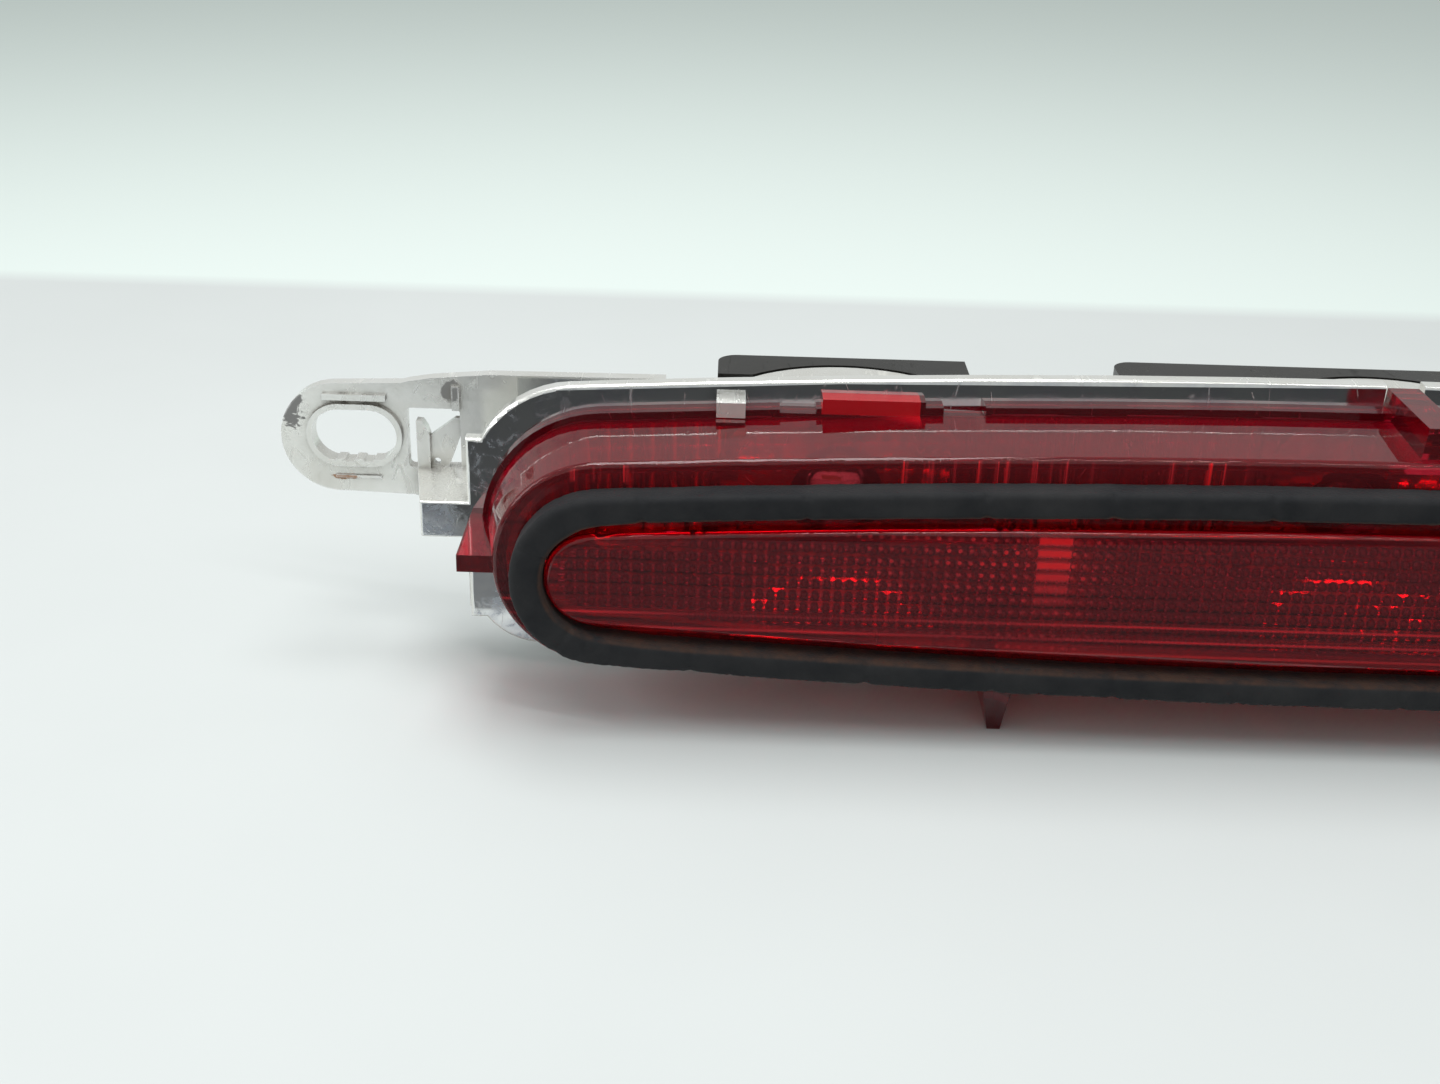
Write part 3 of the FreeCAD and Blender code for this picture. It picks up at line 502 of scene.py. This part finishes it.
def redAcrylic(settings):
    made, tree, shader, here, normal = newFinish("redAcrylic", IOR=settings["ior"], Metallic=0.0)
    used = settings["used"]
    x, y, z = parts(tree, here)
    x = maths(tree, "MULTIPLY", maths(tree, "ABSOLUTE", x), -1.0)    # both halves alike
    lines = useGroup(tree, scratches, Vector=here, Scale=150.0, Width=0.006, Amount=used)["Mask"]
    specks = useGroup(tree, dust, Vector=here, Normal=normal, Scale=1800.0, Amount=used)["Mask"]
    cloudy = ramp(tree, noiseAt(tree, here, 30.0, 3.0), 0.35, 0.75)
    deeper = [c * 0.86 for c in settings["red"][:3]] + [1]
    shade = mixColour(tree, cloudy, settings["red"], deeper)
    shade = mixColour(tree, maths(tree, "MULTIPLY", specks, 0.5), shade, (0.55, 0.30, 0.27, 1))
    clean = ramp(tree, cloudy, 0.0, 1.0, settings["clear"], settings["clear"] * 1.8)
    marks = maths(tree, "MULTIPLY", maths(tree, "MAXIMUM", lines, specks), settings["hazy"])
    rough = maths(tree, "ADD", clean, marks, True)
    height = maths(tree, "ADD", maths(tree, "MULTIPLY", lines, -0.6),
                   noiseAt(tree, here, 70.0, 2.0))
    front = maths(tree, "MULTIPLY", ramp(tree, parts(tree, normal)[1], -0.80, -0.95),
                  ramp(tree, y, settings["frontDepth"], settings["frontDepth"] + 0.5 * mm, 1.0, 0.0))
    # painted highlights and painted shade on the front faces
    bright, gaps = lensletHighlightsAndShadeOn(tree, settings, x, z, here)
    bright = maths(tree, "MAXIMUM", bright, flutesOn(tree, settings, x, z, here))
    bright = maths(tree, "MULTIPLY", bright, front)
    gaps = maths(tree, "MULTIPLY", gaps, front)
    # the snap block is made less clear and mixed part way to the lit red, a painted highlight
    clipX, clipHalf, clipLow = settings["clip"]
    clip = maths(tree, "MULTIPLY", band(tree, x, clipX, clipHalf, 0.1 * mm),
                 ramp(tree, z, clipLow, clipLow + 0.3 * mm))
    behind = ramp(tree, y, settings["frontDepth"], settings["frontDepth"] + 1 * mm)
    clip = maths(tree, "MULTIPLY", clip, behind)
    bright = maths(tree, "MAXIMUM", bright, maths(tree, "MULTIPLY", clip, 0.6))
    shade = mixColour(tree, maths(tree, "MULTIPLY", front, 0.3), shade, settings["film"])
    # painted shade in the gaps, then the painted highlights
    shade = mixColour(tree, gaps, shade, settings["unlit"])
    shade = mixColour(tree, bright, shade, settings["lit"])
    clear = mixValue(tree, bright, settings["through"], settings["through"] * 0.35)
    feed(tree, shader, Base_Color=shade, Roughness=rough, Transmission_Weight=clear,
         Normal=bump(tree, height, 0.02 * mm))
    return made


pressedSet = {
    # painted shade of the lenslets and the painted highlight on their tips
    "dark": (0.07, 0.003, 0.006, 1),
    "tip": (0.62, 0.04, 0.05, 1),
    "through": 0.12,
    # painted highlights: the brightest column and block of lenslets, and how far the painted glow
    # runs
    "glow": (-60 * mm, 52 * mm),    # brightest column of lenslets and how far the glow runs from it
    "block": (-59 * mm, 5.5 * mm),
}


def pressedOptics(settings):
    # lenslets painted dark as shade, with painted highlights on their tips, most of them near one
    # column
    made, tree, shader, here, normal = newFinish("redOptics", IOR=1.49, Roughness=0.12)
    x, y, z = parts(tree, here)
    tip = ramp(tree, parts(tree, normal)[1], -0.86, -0.985)
    glow = band(tree, x, settings["glow"][0], 4 * mm, settings["glow"][1])
    block = band(tree, x, *settings["block"], 0.6 * mm)
    upper = ramp(tree, z, -6 * mm, 6 * mm, 0.35, 1.0)
    patchy = ramp(tree, noiseAt(tree, here, 260.0, 3.0, 0.7), 0.36, 0.62, 0.25, 1.0)
    # painted highlight strongest near the column and the block, weaker towards the bottom
    lit = maths(tree, "ADD", ramp(tree, glow, 0.0, 1.0, 0.22, 0.75),
                maths(tree, "MULTIPLY", block, 0.9))
    lit = maths(tree, "MULTIPLY", maths(tree, "MULTIPLY", lit, upper), patchy)
    tip = maths(tree, "MAXIMUM", tip, maths(tree, "MULTIPLY", block, 0.6))
    mask = maths(tree, "MULTIPLY", tip, lit, True)
    colour = mixColour(tree, mask, settings["dark"], settings["tip"])
    clear = mixValue(tree, mask, settings["through"], 0.0)
    feed(tree, shader, Base_Color=colour, Transmission_Weight=clear)
    return made


foamSet = {
    "black": (0.013, 0.014, 0.016, 1),
    "grey": (0.026, 0.026, 0.027, 1),
    "brown": (0.060, 0.032, 0.022, 1),
    "pale": (0.26, 0.25, 0.21, 1),
    "cell": 2600.0,
}


def blackFoam(settings):
    made, tree, shader, here, normal = newFinish(
        "blackFoam", Sheen_Weight=0.04, Sheen_Roughness=0.5, Specular_IOR_Level=0.12)
    nz = parts(tree, normal)[2]
    ny = parts(tree, normal)[1]
    cells = addNode(tree, "ShaderNodeTexVoronoi",
                    {"Vector": here, "Scale": settings["cell"]}).outputs["Distance"]
    cloudy = ramp(tree, noiseAt(tree, here, 90.0, 5.0, 0.65), 0.35, 0.70)
    colour = mixColour(tree, cloudy, settings["black"], settings["grey"])
    # brown on the inner wall: dust and a painted red reflection of the lens
    inner = addNode(tree, "ShaderNodeAttribute", attribute_name="innerWall").outputs["Fac"]
    patches = ramp(tree, noiseAt(tree, here, 240.0, 4.0, 0.7), 0.30, 0.62)
    dirtAndRedReflection = maths(tree, "MULTIPLY", inner, patches)
    colour = mixColour(tree, maths(tree, "MULTIPLY", dirtAndRedReflection, 0.85), colour, settings["brown"])
    flecks = ramp(tree, noiseAt(tree, here, 800.0, 3.0, 0.75), 0.70, 0.78)
    flecks = maths(tree, "MULTIPLY", flecks, ramp(tree, noiseAt(tree, here, 55.0, 2.0), 0.55, 0.68))
    up = ramp(tree, nz, 0.1, 0.9, 0.25, 1.0)
    flecks = maths(tree, "MULTIPLY", flecks, maths(tree, "MULTIPLY", up, 0.7))
    colour = mixColour(tree, flecks, colour, settings["pale"])
    rough = ramp(tree, cloudy, 0.0, 1.0, 0.62, 0.82)
    skin = maths(tree, "ADD", cells, noiseAt(tree, here, 1500.0, 4.0, 0.7))
    skin = maths(tree, "MULTIPLY", skin, ramp(tree, ny, -0.8, -0.3, 0.35, 1.0))
    feed(tree, shader, Base_Color=colour, Roughness=rough, Normal=bump(tree, skin, 0.06 * mm))
    return made


def blackPlastic(name, tone, roughLow, roughHigh, dustAmount):
    made, tree, shader, here, normal = newFinish(name, Specular_IOR_Level=0.22)
    skin = useGroup(tree, grain, Vector=here, Scale=3200.0)["Height"]
    specks = useGroup(tree, dust, Vector=here, Normal=normal, Scale=1300.0, Amount=dustAmount)["Mask"]
    lines = useGroup(tree, scratches, Vector=here, Scale=120.0, Width=0.008, Amount=0.7)["Mask"]
    edge = useGroup(tree, edgeWearAndHighlight, Vector=here, Radius=0.35 * mm, Amount=0.5)["Mask"]
    cloudy = ramp(tree, noiseAt(tree, here, 70.0, 4.0), 0.35, 0.7)
    colour = mixColour(tree, cloudy, (*tone, 1), [c * 1.6 for c in tone] + [1])
    # lighter edges: rubbed wear and a painted highlight
    colour = mixColour(tree, edge, colour, [c * 4 + 0.01 for c in tone] + [1])
    colour = mixColour(tree, maths(tree, "MULTIPLY", specks, 0.6), colour, (0.22, 0.21, 0.18, 1))
    rough = ramp(tree, cloudy, 0.0, 1.0, roughLow, roughHigh)
    marks = maths(tree, "MULTIPLY", maths(tree, "MAXIMUM", lines, specks), 0.2)
    rough = maths(tree, "ADD", rough, marks, True)
    height = maths(tree, "SUBTRACT", skin, maths(tree, "MULTIPLY", lines, 0.8))
    feed(tree, shader, Base_Color=colour, Roughness=rough, Normal=bump(tree, height, 0.015 * mm))
    return made


def rolledMetal(name, tone, tarnish, roughLow, roughHigh):
    # sheet or wire metal with drawn lines and tarnish
    made, tree, shader, here, normal = newFinish(name, Metallic=1.0)
    drawn = noiseAt(tree, stretched(tree, here, (0, 0, 0), (0.06, 1.0, 1.0)), 2200.0, 2.0)
    stain = ramp(tree, noiseAt(tree, here, 220.0, 4.0, 0.6), 0.42, 0.70)
    edge = useGroup(tree, edgeWearAndHighlight, Vector=here, Radius=0.2 * mm, Amount=0.6)["Mask"]
    colour = mixColour(tree, stain, (*tone, 1), (*tarnish, 1))
    # brighter edges: rubbed wear and a painted highlight
    colour = mixColour(tree, edge, colour, [min(1.0, c * 1.25) for c in tone] + [1])
    rough = ramp(tree, maths(tree, "ADD", stain, maths(tree, "MULTIPLY", drawn, 0.5)), 0.0, 1.5,
                 roughLow, roughHigh)
    feed(tree, shader, Base_Color=colour, Roughness=rough, Normal=bump(tree, drawn, 0.006 * mm))
    return made


def clearGlass():
    made, tree, shader, here, normal = newFinish(
        "bulbGlass", IOR=1.5, Transmission_Weight=1.0, Metallic=0.0)
    haze = ramp(tree, noiseAt(tree, here, 180.0, 3.0), 0.45, 0.75)
    colour = mixColour(tree, haze, (0.98, 0.985, 0.98, 1), (0.86, 0.87, 0.86, 1))
    feed(tree, shader, Base_Color=colour, Roughness=ramp(tree, haze, 0.0, 1.0, 0.0, 0.06))
    return made


def sealant():
    made, tree, shader, here, normal = newFinish("sealant", Specular_IOR_Level=0.4)
    lumps = noiseAt(tree, here, 600.0, 3.0)
    colour = mixColour(tree, lumps, (0.30, 0.29, 0.27, 1), (0.44, 0.43, 0.40, 1))
    feed(tree, shader, Base_Color=colour, Roughness=ramp(tree, lumps, 0.3, 0.7, 0.35, 0.6),
         Normal=bump(tree, lumps, 0.05 * mm))
    return made


finishes = {
    "mirror": metallisedPlastic(mirrorSet),
    "red": redAcrylic(lensSet),
    "optics": pressedOptics(pressedSet),
    "foam": blackFoam(foamSet),
    "carrier": blackPlastic("carrierPlastic", (0.009, 0.0085, 0.0075), 0.22, 0.34, 0.6),
    "shell": blackPlastic("connectorPlastic", (0.010, 0.010, 0.011), 0.36, 0.50, 0.5),
    "brass": rolledMetal("stripBrass", (0.72, 0.50, 0.21), (0.38, 0.24, 0.10), 0.22, 0.42),
    "spring": rolledMetal("springBrass", (0.70, 0.55, 0.30), (0.42, 0.30, 0.15), 0.20, 0.36),
    "glass": clearGlass(),
    "tungsten": rolledMetal("tungsten", (0.33, 0.32, 0.31), (0.18, 0.18, 0.19), 0.35, 0.50),
    "wire": rolledMetal("steelWire", (0.55, 0.54, 0.52), (0.32, 0.30, 0.28), 0.25, 0.40),
    "sealant": sealant(),
}
print("finishes built:", len(finishes))


def floorFinish(settings):
    made, tree, shader, here, normal = newFinish("paleFloor", Roughness=0.7, Specular_IOR_Level=0.0)
    far = ramp(tree, parts(tree, here)[1], settings["farLine"] - 0.006, settings["farLine"] + 0.006)
    soft = noiseAt(tree, here, 9.0, 3.0)
    near = mixColour(tree, ramp(tree, soft, 0.3, 0.7), (*settings["nearColour"], 1),
                     [c * 0.965 for c in settings["nearColour"]] + [1])
    feed(tree, shader, Base_Color=mixColour(tree, far, near, (*settings["farColour"], 1)))
    return made


def makeFlag(name, half, near, far, tone):
    # a sheet seen only in reflections, painting a dark reflection into the mirrored faces
    data = bpy.data.meshes.new(name)
    lift = floorZ + 1.0 * mm
    corners = [(-half, far, lift), (half, far, lift), (half, near, lift), (-half, near, lift)]
    data.from_pydata(corners, [], [(0, 1, 2, 3)])
    reflectionSheet, tree, shader, here, normal = newFinish(name, Roughness=0.95, Specular_IOR_Level=0.1)
    weave = noiseAt(tree, here, 30.0, 2.0)
    feed(tree, shader, Base_Color=mixColour(tree, weave, (tone, tone * 1.04, tone * 1.08, 1),
                                            (tone * 1.3, tone * 1.33, tone * 1.36, 1)))
    data.materials.append(reflectionSheet)
    card = linkObject(name, data)
    card.visible_camera = False
    card.visible_diffuse = False
    card.visible_shadow = False


def makeStage(settings):
    reach = settings["reach"]
    data = bpy.data.meshes.new("floor")
    corners = [(-reach, -reach, floorZ), (reach, -reach, floorZ), (reach, reach, floorZ),
               (-reach, reach, floorZ)]
    data.from_pydata(corners, [], [(0, 1, 2, 3)])
    data.materials.append(floorFinish(settings))
    linkObject("floor", data)
    for number, flag in enumerate(settings["flags"], 1):
        makeFlag("cloth%d" % number, *flag)
    world = bpy.data.worlds.new("softRoom")
    world.use_nodes = True
    sky = world.node_tree.nodes["Background"]
    sky.inputs[0].default_value = (*settings["worldColour"], 1)
    sky.inputs[1].default_value = settings["worldStrength"]
    bpy.context.scene.world = world
    for name, key, aim in (("ceiling", "key", (0, 0.02, 0)), ("side", "side", (-0.1, 0.02, 0)),
                           ("tube", "tube", (0, 0.02, 0))):
        makeLight(name, settings[key + "Size"], settings[key + "Place"],
                  settings[key + "Power"], aim)


makeCamera(cameraSet)
makeStage(stageSet)
print("camera and stage ready")


# pieces made from the CAD shapes

def smoothCopy(node, sharpAngle, name, rounding=0.0):
    # merged copy of a CAD node, smooth but for its real corners, which get a small rounding
    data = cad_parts[node].data.copy()
    data.name = name
    data.materials.clear()
    work = bmesh.new()
    work.from_mesh(data)
    bmesh.ops.remove_doubles(work, verts=work.verts, dist=1e-6)
    if rounding:
        bmesh.ops.dissolve_limit(work, angle_limit=math.radians(0.5), verts=work.verts,
                                 edges=work.edges)
    for face in work.faces:
        face.smooth = True
    for edge in work.edges:
        if len(edge.link_faces) == 2:
            edge.smooth = edge.calc_face_angle(0.0) < math.radians(sharpAngle)
        else:
            edge.smooth = False
    work.to_mesh(data)
    work.free()
    copy = linkObject(name, data)
    if rounding:
        bevel = copy.modifiers.new("rounding", "BEVEL")
        bevel.width = rounding
        bevel.segments = 2
        bevel.limit_method = "ANGLE"
        bevel.angle_limit = math.radians(sharpAngle)
        bevel.use_clamp_overlap = True
    weights = copy.modifiers.new("weights", "WEIGHTED_NORMAL")
    weights.keep_sharp = True
    weights.weight = 80
    return applied(copy)


def applied(piece):
    # the piece's mesh with its modifiers worked in
    bpy.context.view_layer.update()
    graph = bpy.context.evaluated_depsgraph_get()
    made = bpy.data.meshes.new_from_object(piece.evaluated_get(graph), depsgraph=graph)
    old = piece.data
    piece.modifiers.clear()
    piece.data = made
    made.name = piece.name
    bpy.data.meshes.remove(old)
    return piece


def placePiece(piece, body, finish, nodes=()):
    if finish:
        piece.data.materials.clear()
        piece.data.materials.append(finish)
    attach(piece, body)
    if nodes:
        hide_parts(*nodes)
    return piece


# node, body, slot, finish, angle of a real corner, rounding
shellSet = {
    "reflectorShell": ("reflector_housing", "lamp", "metallised_plastic", "mirror", 35, 0.2 * mm),
    "lensShell": ("lens", "lamp", "red_acrylic", "red", 35, 0.22 * mm),
    "carrierShell": ("bulb_carrier", "carrier", "black_plastic", "carrier", 35, 0.18 * mm),
    "connectorBody": ("connector_shell", "carrier", "black_plastic", "shell", 35, 0.15 * mm),
}

for pieceName, (node, body, slot, finish, angle, rounding) in shellSet.items():
    piece = smoothCopy(node, angle, pieceName, rounding)
    placePiece(piece, body, finishes[finish], (node,))
    print(pieceName, len(piece.data.polygons), "faces")


plainNodes = {
    "lens_seal": "sealant",
    "strip_live": "brass",
    "strip_earth": "brass",
    "terminal_live": "brass",
    "terminal_earth": "brass",
}
for n in (1, 2, 3):
    plainNodes["socket_contacts_%d" % n] = "spring"
    plainNodes["bulb_posts_%d" % n] = "wire"

for node, finish in plainNodes.items():
    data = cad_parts[node].data
    data.materials.clear()
    data.materials.append(finishes[finish])

for n in (1, 2, 3):
    glass = smoothCopy("bulb_glass_%d" % n, 40, "bulbEnvelope%d" % n)
    placePiece(glass, "bulb_%d" % n, finishes["glass"], ("bulb_glass_%d" % n,))
print("small parts finished")


def roundEndLoop(half, height, step):
    # points round a long bowed shape with full round ends: x, z and the outward direction
    r = (2 * lampBow * height - height ** 2 - half ** 2) / (2 * (lampBow - half))
    cx = half - r
    drop = lampBow - height
    lean = math.atan2(cx, drop)
    bowCount = int(2 * lean * lampBow / step)
    endCount = int((math.pi - 2 * lean) * r / step)
    loop = []
    for side in (0, 1):
        turn = math.pi * side
        for i in range(bowCount):
            a = -lean + 2 * lean * i / bowCount
            loop.append((lampBow * math.sin(a), lampBow * math.cos(a) - drop,
                         math.sin(a), math.cos(a), turn))
        for i in range(endCount):
            a = lean + (math.pi - 2 * lean) * i / endCount
            loop.append((cx + r * math.sin(a), r * math.cos(a), math.sin(a), math.cos(a), turn))
    flip = {0.0: 1, math.pi: -1}
    return [(flip[t] * x, flip[t] * z, flip[t] * nx, flip[t] * nz) for x, z, nx, nz, t in loop]


gasketSet = {
    "width": 4.5 * mm,
    "endExtra": 0.9 * mm,      # the band is wider round the ends
    "front": 1.0 * mm,         # rounding of the front corners
    "back": 0.3 * mm,
    "step": 0.55 * mm,
    "wobble": 0.22 * mm,
    "lumps": 0.10 * mm,
    "cuts": 26,
    "cutDepth": 0.9 * mm,
    "cutReach": 0.9 * mm,
    "seed": 7,
}


def sectionPoints(width, thick, front, back):
    # rounded band section: u across from the outside in, v from front to back
    points = []
    corners = [(front, front, front, math.pi), (width - front, front, front, 1.5 * math.pi),
               (width - back, thick - back, back, 0.0), (back, thick - back, back, 0.5 * math.pi)]
    for cu, cv, r, start in corners:
        for k in range(5):
            a = start + math.pi / 2 * k / 4
            points.append((cu + r * math.cos(a), cv + r * math.sin(a)))
    full = []
    for i, (u0, v0) in enumerate(points):
        u1, v1 = points[(i + 1) % len(points)]
        full.append((u0, v0))
        gaps = int(math.hypot(u1 - u0, v1 - v0) / (0.6 * mm))
        for k in range(1, gaps):
            full.append((u0 + (u1 - u0) * k / gaps, v0 + (v1 - v0) * k / gaps))
    return full


def makeGasket(settings):
    half = gasketBox[1].x
    height = gasketBox[1].z
    thick = gasketBox[1].y - gasketBox[0].y
    loop = roundEndLoop(half, height, settings["step"])
    section = sectionPoints(settings["width"], thick, settings["front"], settings["back"])
    data = bpy.data.meshes.new("foamGasket")
    verts = []
    shades = []
    count = len(loop)
    noise.seed_set(settings["seed"])
    cuts = set()
    for k in range(settings["cuts"]):
        shift = noise.noise(Vector((k * 3.7, 1.3, settings["seed"]))) * 0.5 + 0.5
        cuts.add(int(count * (shift + k) / settings["cuts"]) % count)
    for i, (x, z, nx, nz) in enumerate(loop):
        endness = max(0.0, min(1.0, (abs(x) - half + height * 1.2) / (height * 0.8)))
        widen = 1 + settings["endExtra"] / settings["width"] * endness
        low = max(0.0, -nz)
        near = min(min((i - c) % count, (c - i) % count) for c in cuts)
        cut = max(0.0, 1 - near * settings["step"] / settings["cutReach"])
        for u, v in section:
            place = Vector((x - nx * u, gasketBox[0].y + v, z - nz * u))
            across = (u / settings["width"] - 0.5) * 2
            front = max(0.0, 1 - v / (1.4 * mm))
            broad = noise.noise(place * 90.0)
            fine = noise.fractal(place * 900.0, 0.6, 2.0, 3)
            rag = max(0.0, noise.noise(place * 1500.0)) * (0.3 + 0.7 * low)
            push = abs(broad) * settings["wobble"] + abs(fine) * settings["lumps"]
            push += rag * settings["wobble"] * 1.6 * front
            push += cut * settings["cutDepth"] * front * max(0.0, abs(across) - 0.45)
            inward = u * widen + (push if across < 0 else -push * 0.8)
            lift = v + (push * 0.5 + cut * settings["cutDepth"] * 0.4 * abs(across)) * front
            verts.append((x - nx * inward, gasketBox[0].y + lift, z - nz * inward))
            # marks the inner wall for its brown of dust and painted red reflection
            shades.append(1.0 if across > 0.85 or (across > 0.7 and front < 0.6) else 0.0)
    ring = len(section)
    faces = []
    for i in range(count):
        j = (i + 1) % count
        for k in range(ring):
            m = (k + 1) % ring
            faces.append((i * ring + k, i * ring + m, j * ring + m, j * ring + k))
    data.from_pydata(verts, [], faces)
    tone = data.attributes.new("innerWall", "FLOAT", "POINT")
    tone.data.foreach_set("value", shades)
    work = bmesh.new()
    work.from_mesh(data)
    bmesh.ops.recalc_face_normals(work, faces=work.faces)
    for face in work.faces:
        face.smooth = True
    work.to_mesh(data)
    work.free()
    return linkObject("foamGasket", data)


gasket = makeGasket(gasketSet)
placePiece(gasket, "lamp", finishes["foam"], ("panel_gasket",))
print("gasket", len(gasket.data.polygons), "faces")


def newGeometryTree(name, inputs):
    tree = bpy.data.node_groups.new(name, "GeometryNodeTree")
    tree.interface.new_socket("Geometry", in_out="INPUT", socket_type="NodeSocketGeometry")
    for label, kind in inputs:
        tree.interface.new_socket(label, in_out="INPUT", socket_type=kind)
    tree.interface.new_socket("Geometry", in_out="OUTPUT", socket_type="NodeSocketGeometry")
    start = tree.nodes.new("NodeGroupInput")
    end = tree.nodes.new("NodeGroupOutput")
    return tree, start.outputs, end.inputs


def runGeometry(name, tree, values):
    # an empty mesh run through the tree, then kept as a plain mesh
    holder = linkObject(name, bpy.data.meshes.new(name))
    modifier = holder.modifiers.new("shape", "NODES")
    modifier.node_group = tree
    for item in tree.interface.items_tree:
        if item.in_out == "INPUT" and item.name in values:
            modifier[item.identifier] = values[item.name]
    return applied(holder)


opticsSet = {
    "pitchX": lensSet["pitchX"],
    "pitchZ": lensSet["pitchZ"],
    "thick": 1.3 * mm,
    "fill": 0.90,              # how much of its cell a pillow takes
    "plane": 3.95 * mm,        # middle of the pillows, behind the window's back face
    "margin": 2.6 * mm,
    "windowHalf": 140.8 * mm,
    "windowHeight": 12.1 * mm,
}


def opticsTree():
    # pillow lenslets in rows and columns inside a long bowed outline
    tree, given, out = newGeometryTree("windowOptics", [
        ("Half", "NodeSocketFloat"), ("Height", "NodeSocketFloat"), ("Bow", "NodeSocketFloat"),
        ("Pitch X", "NodeSocketFloat"), ("Pitch Z", "NodeSocketFloat"), ("Thick", "NodeSocketFloat"),
        ("Columns", "NodeSocketInt"), ("Rows", "NodeSocketInt"), ("Plane", "NodeSocketFloat"),
        ("Fill", "NodeSocketFloat"), ("Material", "NodeSocketMaterial")])
    grid = addNode(tree, "GeometryNodeMeshGrid", {
        0: maths(tree, "MULTIPLY", given["Pitch X"], maths(tree, "SUBTRACT", given["Columns"], 1.0)),
        1: maths(tree, "MULTIPLY", given["Pitch Z"], maths(tree, "SUBTRACT", given["Rows"], 1.0)),
        2: given["Columns"], 3: given["Rows"]})
    x, z = parts(tree, addNode(tree, "GeometryNodeInputPosition").outputs[0])[:2]
    bowDrop = maths(tree, "DIVIDE", maths(tree, "MULTIPLY", x, x),
                    maths(tree, "MULTIPLY", given["Bow"], 2.0))
    edge = maths(tree, "SUBTRACT", given["Height"], bowDrop)
    over = maths(tree, "GREATER_THAN", maths(tree, "ABSOLUTE", z), edge)
    past = maths(tree, "MAXIMUM", maths(tree, "SUBTRACT", maths(tree, "ABSOLUTE", x),
                                        maths(tree, "SUBTRACT", given["Half"], edge)), 0.0)
    away = maths(tree, "SQRT", maths(tree, "ADD", maths(tree, "MULTIPLY", past, past),
                                     maths(tree, "MULTIPLY", z, z)))
    outside = maths(tree, "MAXIMUM", over, maths(tree, "GREATER_THAN", away, edge))
    kept = addNode(tree, "GeometryNodeDeleteGeometry", {0: grid.outputs[0], 1: outside})
    sphere = addNode(tree, "GeometryNodeMeshUVSphere", {0: 8, 1: 5, 2: 0.5})
    size = addNode(tree, "ShaderNodeCombineXYZ", {0: given["Pitch X"], 1: given["Pitch Z"],
                                                   2: given["Thick"]})
    pillow = addNode(tree, "GeometryNodeTransform", {0: sphere.outputs[0], 3: size.outputs[0]})
    smooth = addNode(tree, "GeometryNodeSetShadeSmooth", {0: pillow.outputs[0]})
    fill = addNode(tree, "ShaderNodeCombineXYZ", {0: given["Fill"], 1: given["Fill"], 2: 1.0})
    placed = addNode(tree, "GeometryNodeInstanceOnPoints",
                     {0: kept.outputs[0], 2: smooth.outputs[0], 6: fill.outputs[0]})
    depth = addNode(tree, "ShaderNodeCombineXYZ", {0: 0.0, 1: given["Plane"], 2: 0.0})
    stood = addNode(tree, "GeometryNodeTransform", {0: placed.outputs[0], 1: depth.outputs[0],
                                                     2: (math.pi / 2, 0.0, 0.0)})
    real = addNode(tree, "GeometryNodeRealizeInstances", {0: stood.outputs[0]})
    dressed = addNode(tree, "GeometryNodeSetMaterial", {0: real.outputs[0], 2: given["Material"]})
    tree.links.new(dressed.outputs[0], out["Geometry"])
    return tree


def makeOptics(settings):
    half = settings["windowHalf"] - settings["margin"]
    height = settings["windowHeight"] - settings["margin"]
    return runGeometry("windowOptics", opticsTree(), {
        "Half": half, "Height": height, "Bow": lampBow,
        "Pitch X": settings["pitchX"], "Pitch Z": settings["pitchZ"], "Thick": settings["thick"],
        "Columns": int(2 * half / settings["pitchX"]) | 1,
        "Rows": int(2 * height / settings["pitchZ"]) | 1,
        "Plane": settings["plane"], "Fill": settings["fill"], "Material": finishes["optics"]})


optics = makeOptics(opticsSet)
placePiece(optics, "lamp", None)
print("optics", len(optics.data.polygons), "faces")


filamentSet = {"turns": 16.0, "wire": 0.06 * mm, "steps": 12}


def filamentTree():
    # coiled wire lying along X
    tree, given, out = newGeometryTree("filamentCoil", [
        ("Turns", "NodeSocketFloat"), ("Radius", "NodeSocketFloat"), ("Length", "NodeSocketFloat"),
        ("Wire", "NodeSocketFloat"), ("Steps", "NodeSocketInt"), ("Centre", "NodeSocketVector"),
        ("Material", "NodeSocketMaterial")])
    coil = addNode(tree, "GeometryNodeCurveSpiral", {
        0: given["Steps"], 1: given["Turns"], 2: given["Radius"], 3: given["Radius"],
        4: given["Length"]})
    ring = addNode(tree, "GeometryNodeCurvePrimitiveCircle", {0: 6, 4: given["Wire"]})
    wire = addNode(tree, "GeometryNodeCurveToMesh",
                   {0: coil.outputs[0], 1: ring.outputs[0], "Fill Caps": True})
    back = addNode(tree, "ShaderNodeCombineXYZ", {2: maths(tree, "MULTIPLY", given["Length"], -0.5)})
    centred = addNode(tree, "GeometryNodeTransform", {0: wire.outputs[0], 1: back.outputs[0]})
    laid = addNode(tree, "GeometryNodeTransform", {0: centred.outputs[0], 1: given["Centre"],
                                                    2: (0.0, math.pi / 2, 0.0)})
    smooth = addNode(tree, "GeometryNodeSetShadeSmooth", {0: laid.outputs[0]})
    real = addNode(tree, "GeometryNodeRealizeInstances", {0: smooth.outputs[0]})
    dressed = addNode(tree, "GeometryNodeSetMaterial", {0: real.outputs[0], 2: given["Material"]})
    tree.links.new(dressed.outputs[0], out["Geometry"])
    return tree


coilTree = filamentTree()
for n in (1, 2, 3):
    node = "bulb_filament_%d" % n
    low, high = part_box(node)
    coil = runGeometry("filament%d" % n, coilTree, {
        "Turns": filamentSet["turns"], "Radius": (high.z - low.z) / 2 - filamentSet["wire"],
        "Length": high.x - low.x - 2 * filamentSet["wire"], "Wire": filamentSet["wire"],
        "Steps": filamentSet["steps"], "Centre": (low + high) / 2, "Material": finishes["tungsten"]})
    placePiece(coil, "bulb_%d" % n, None, (node,))
print("filaments wound")

bpy.context.scene.view_settings.view_transform = "Standard"
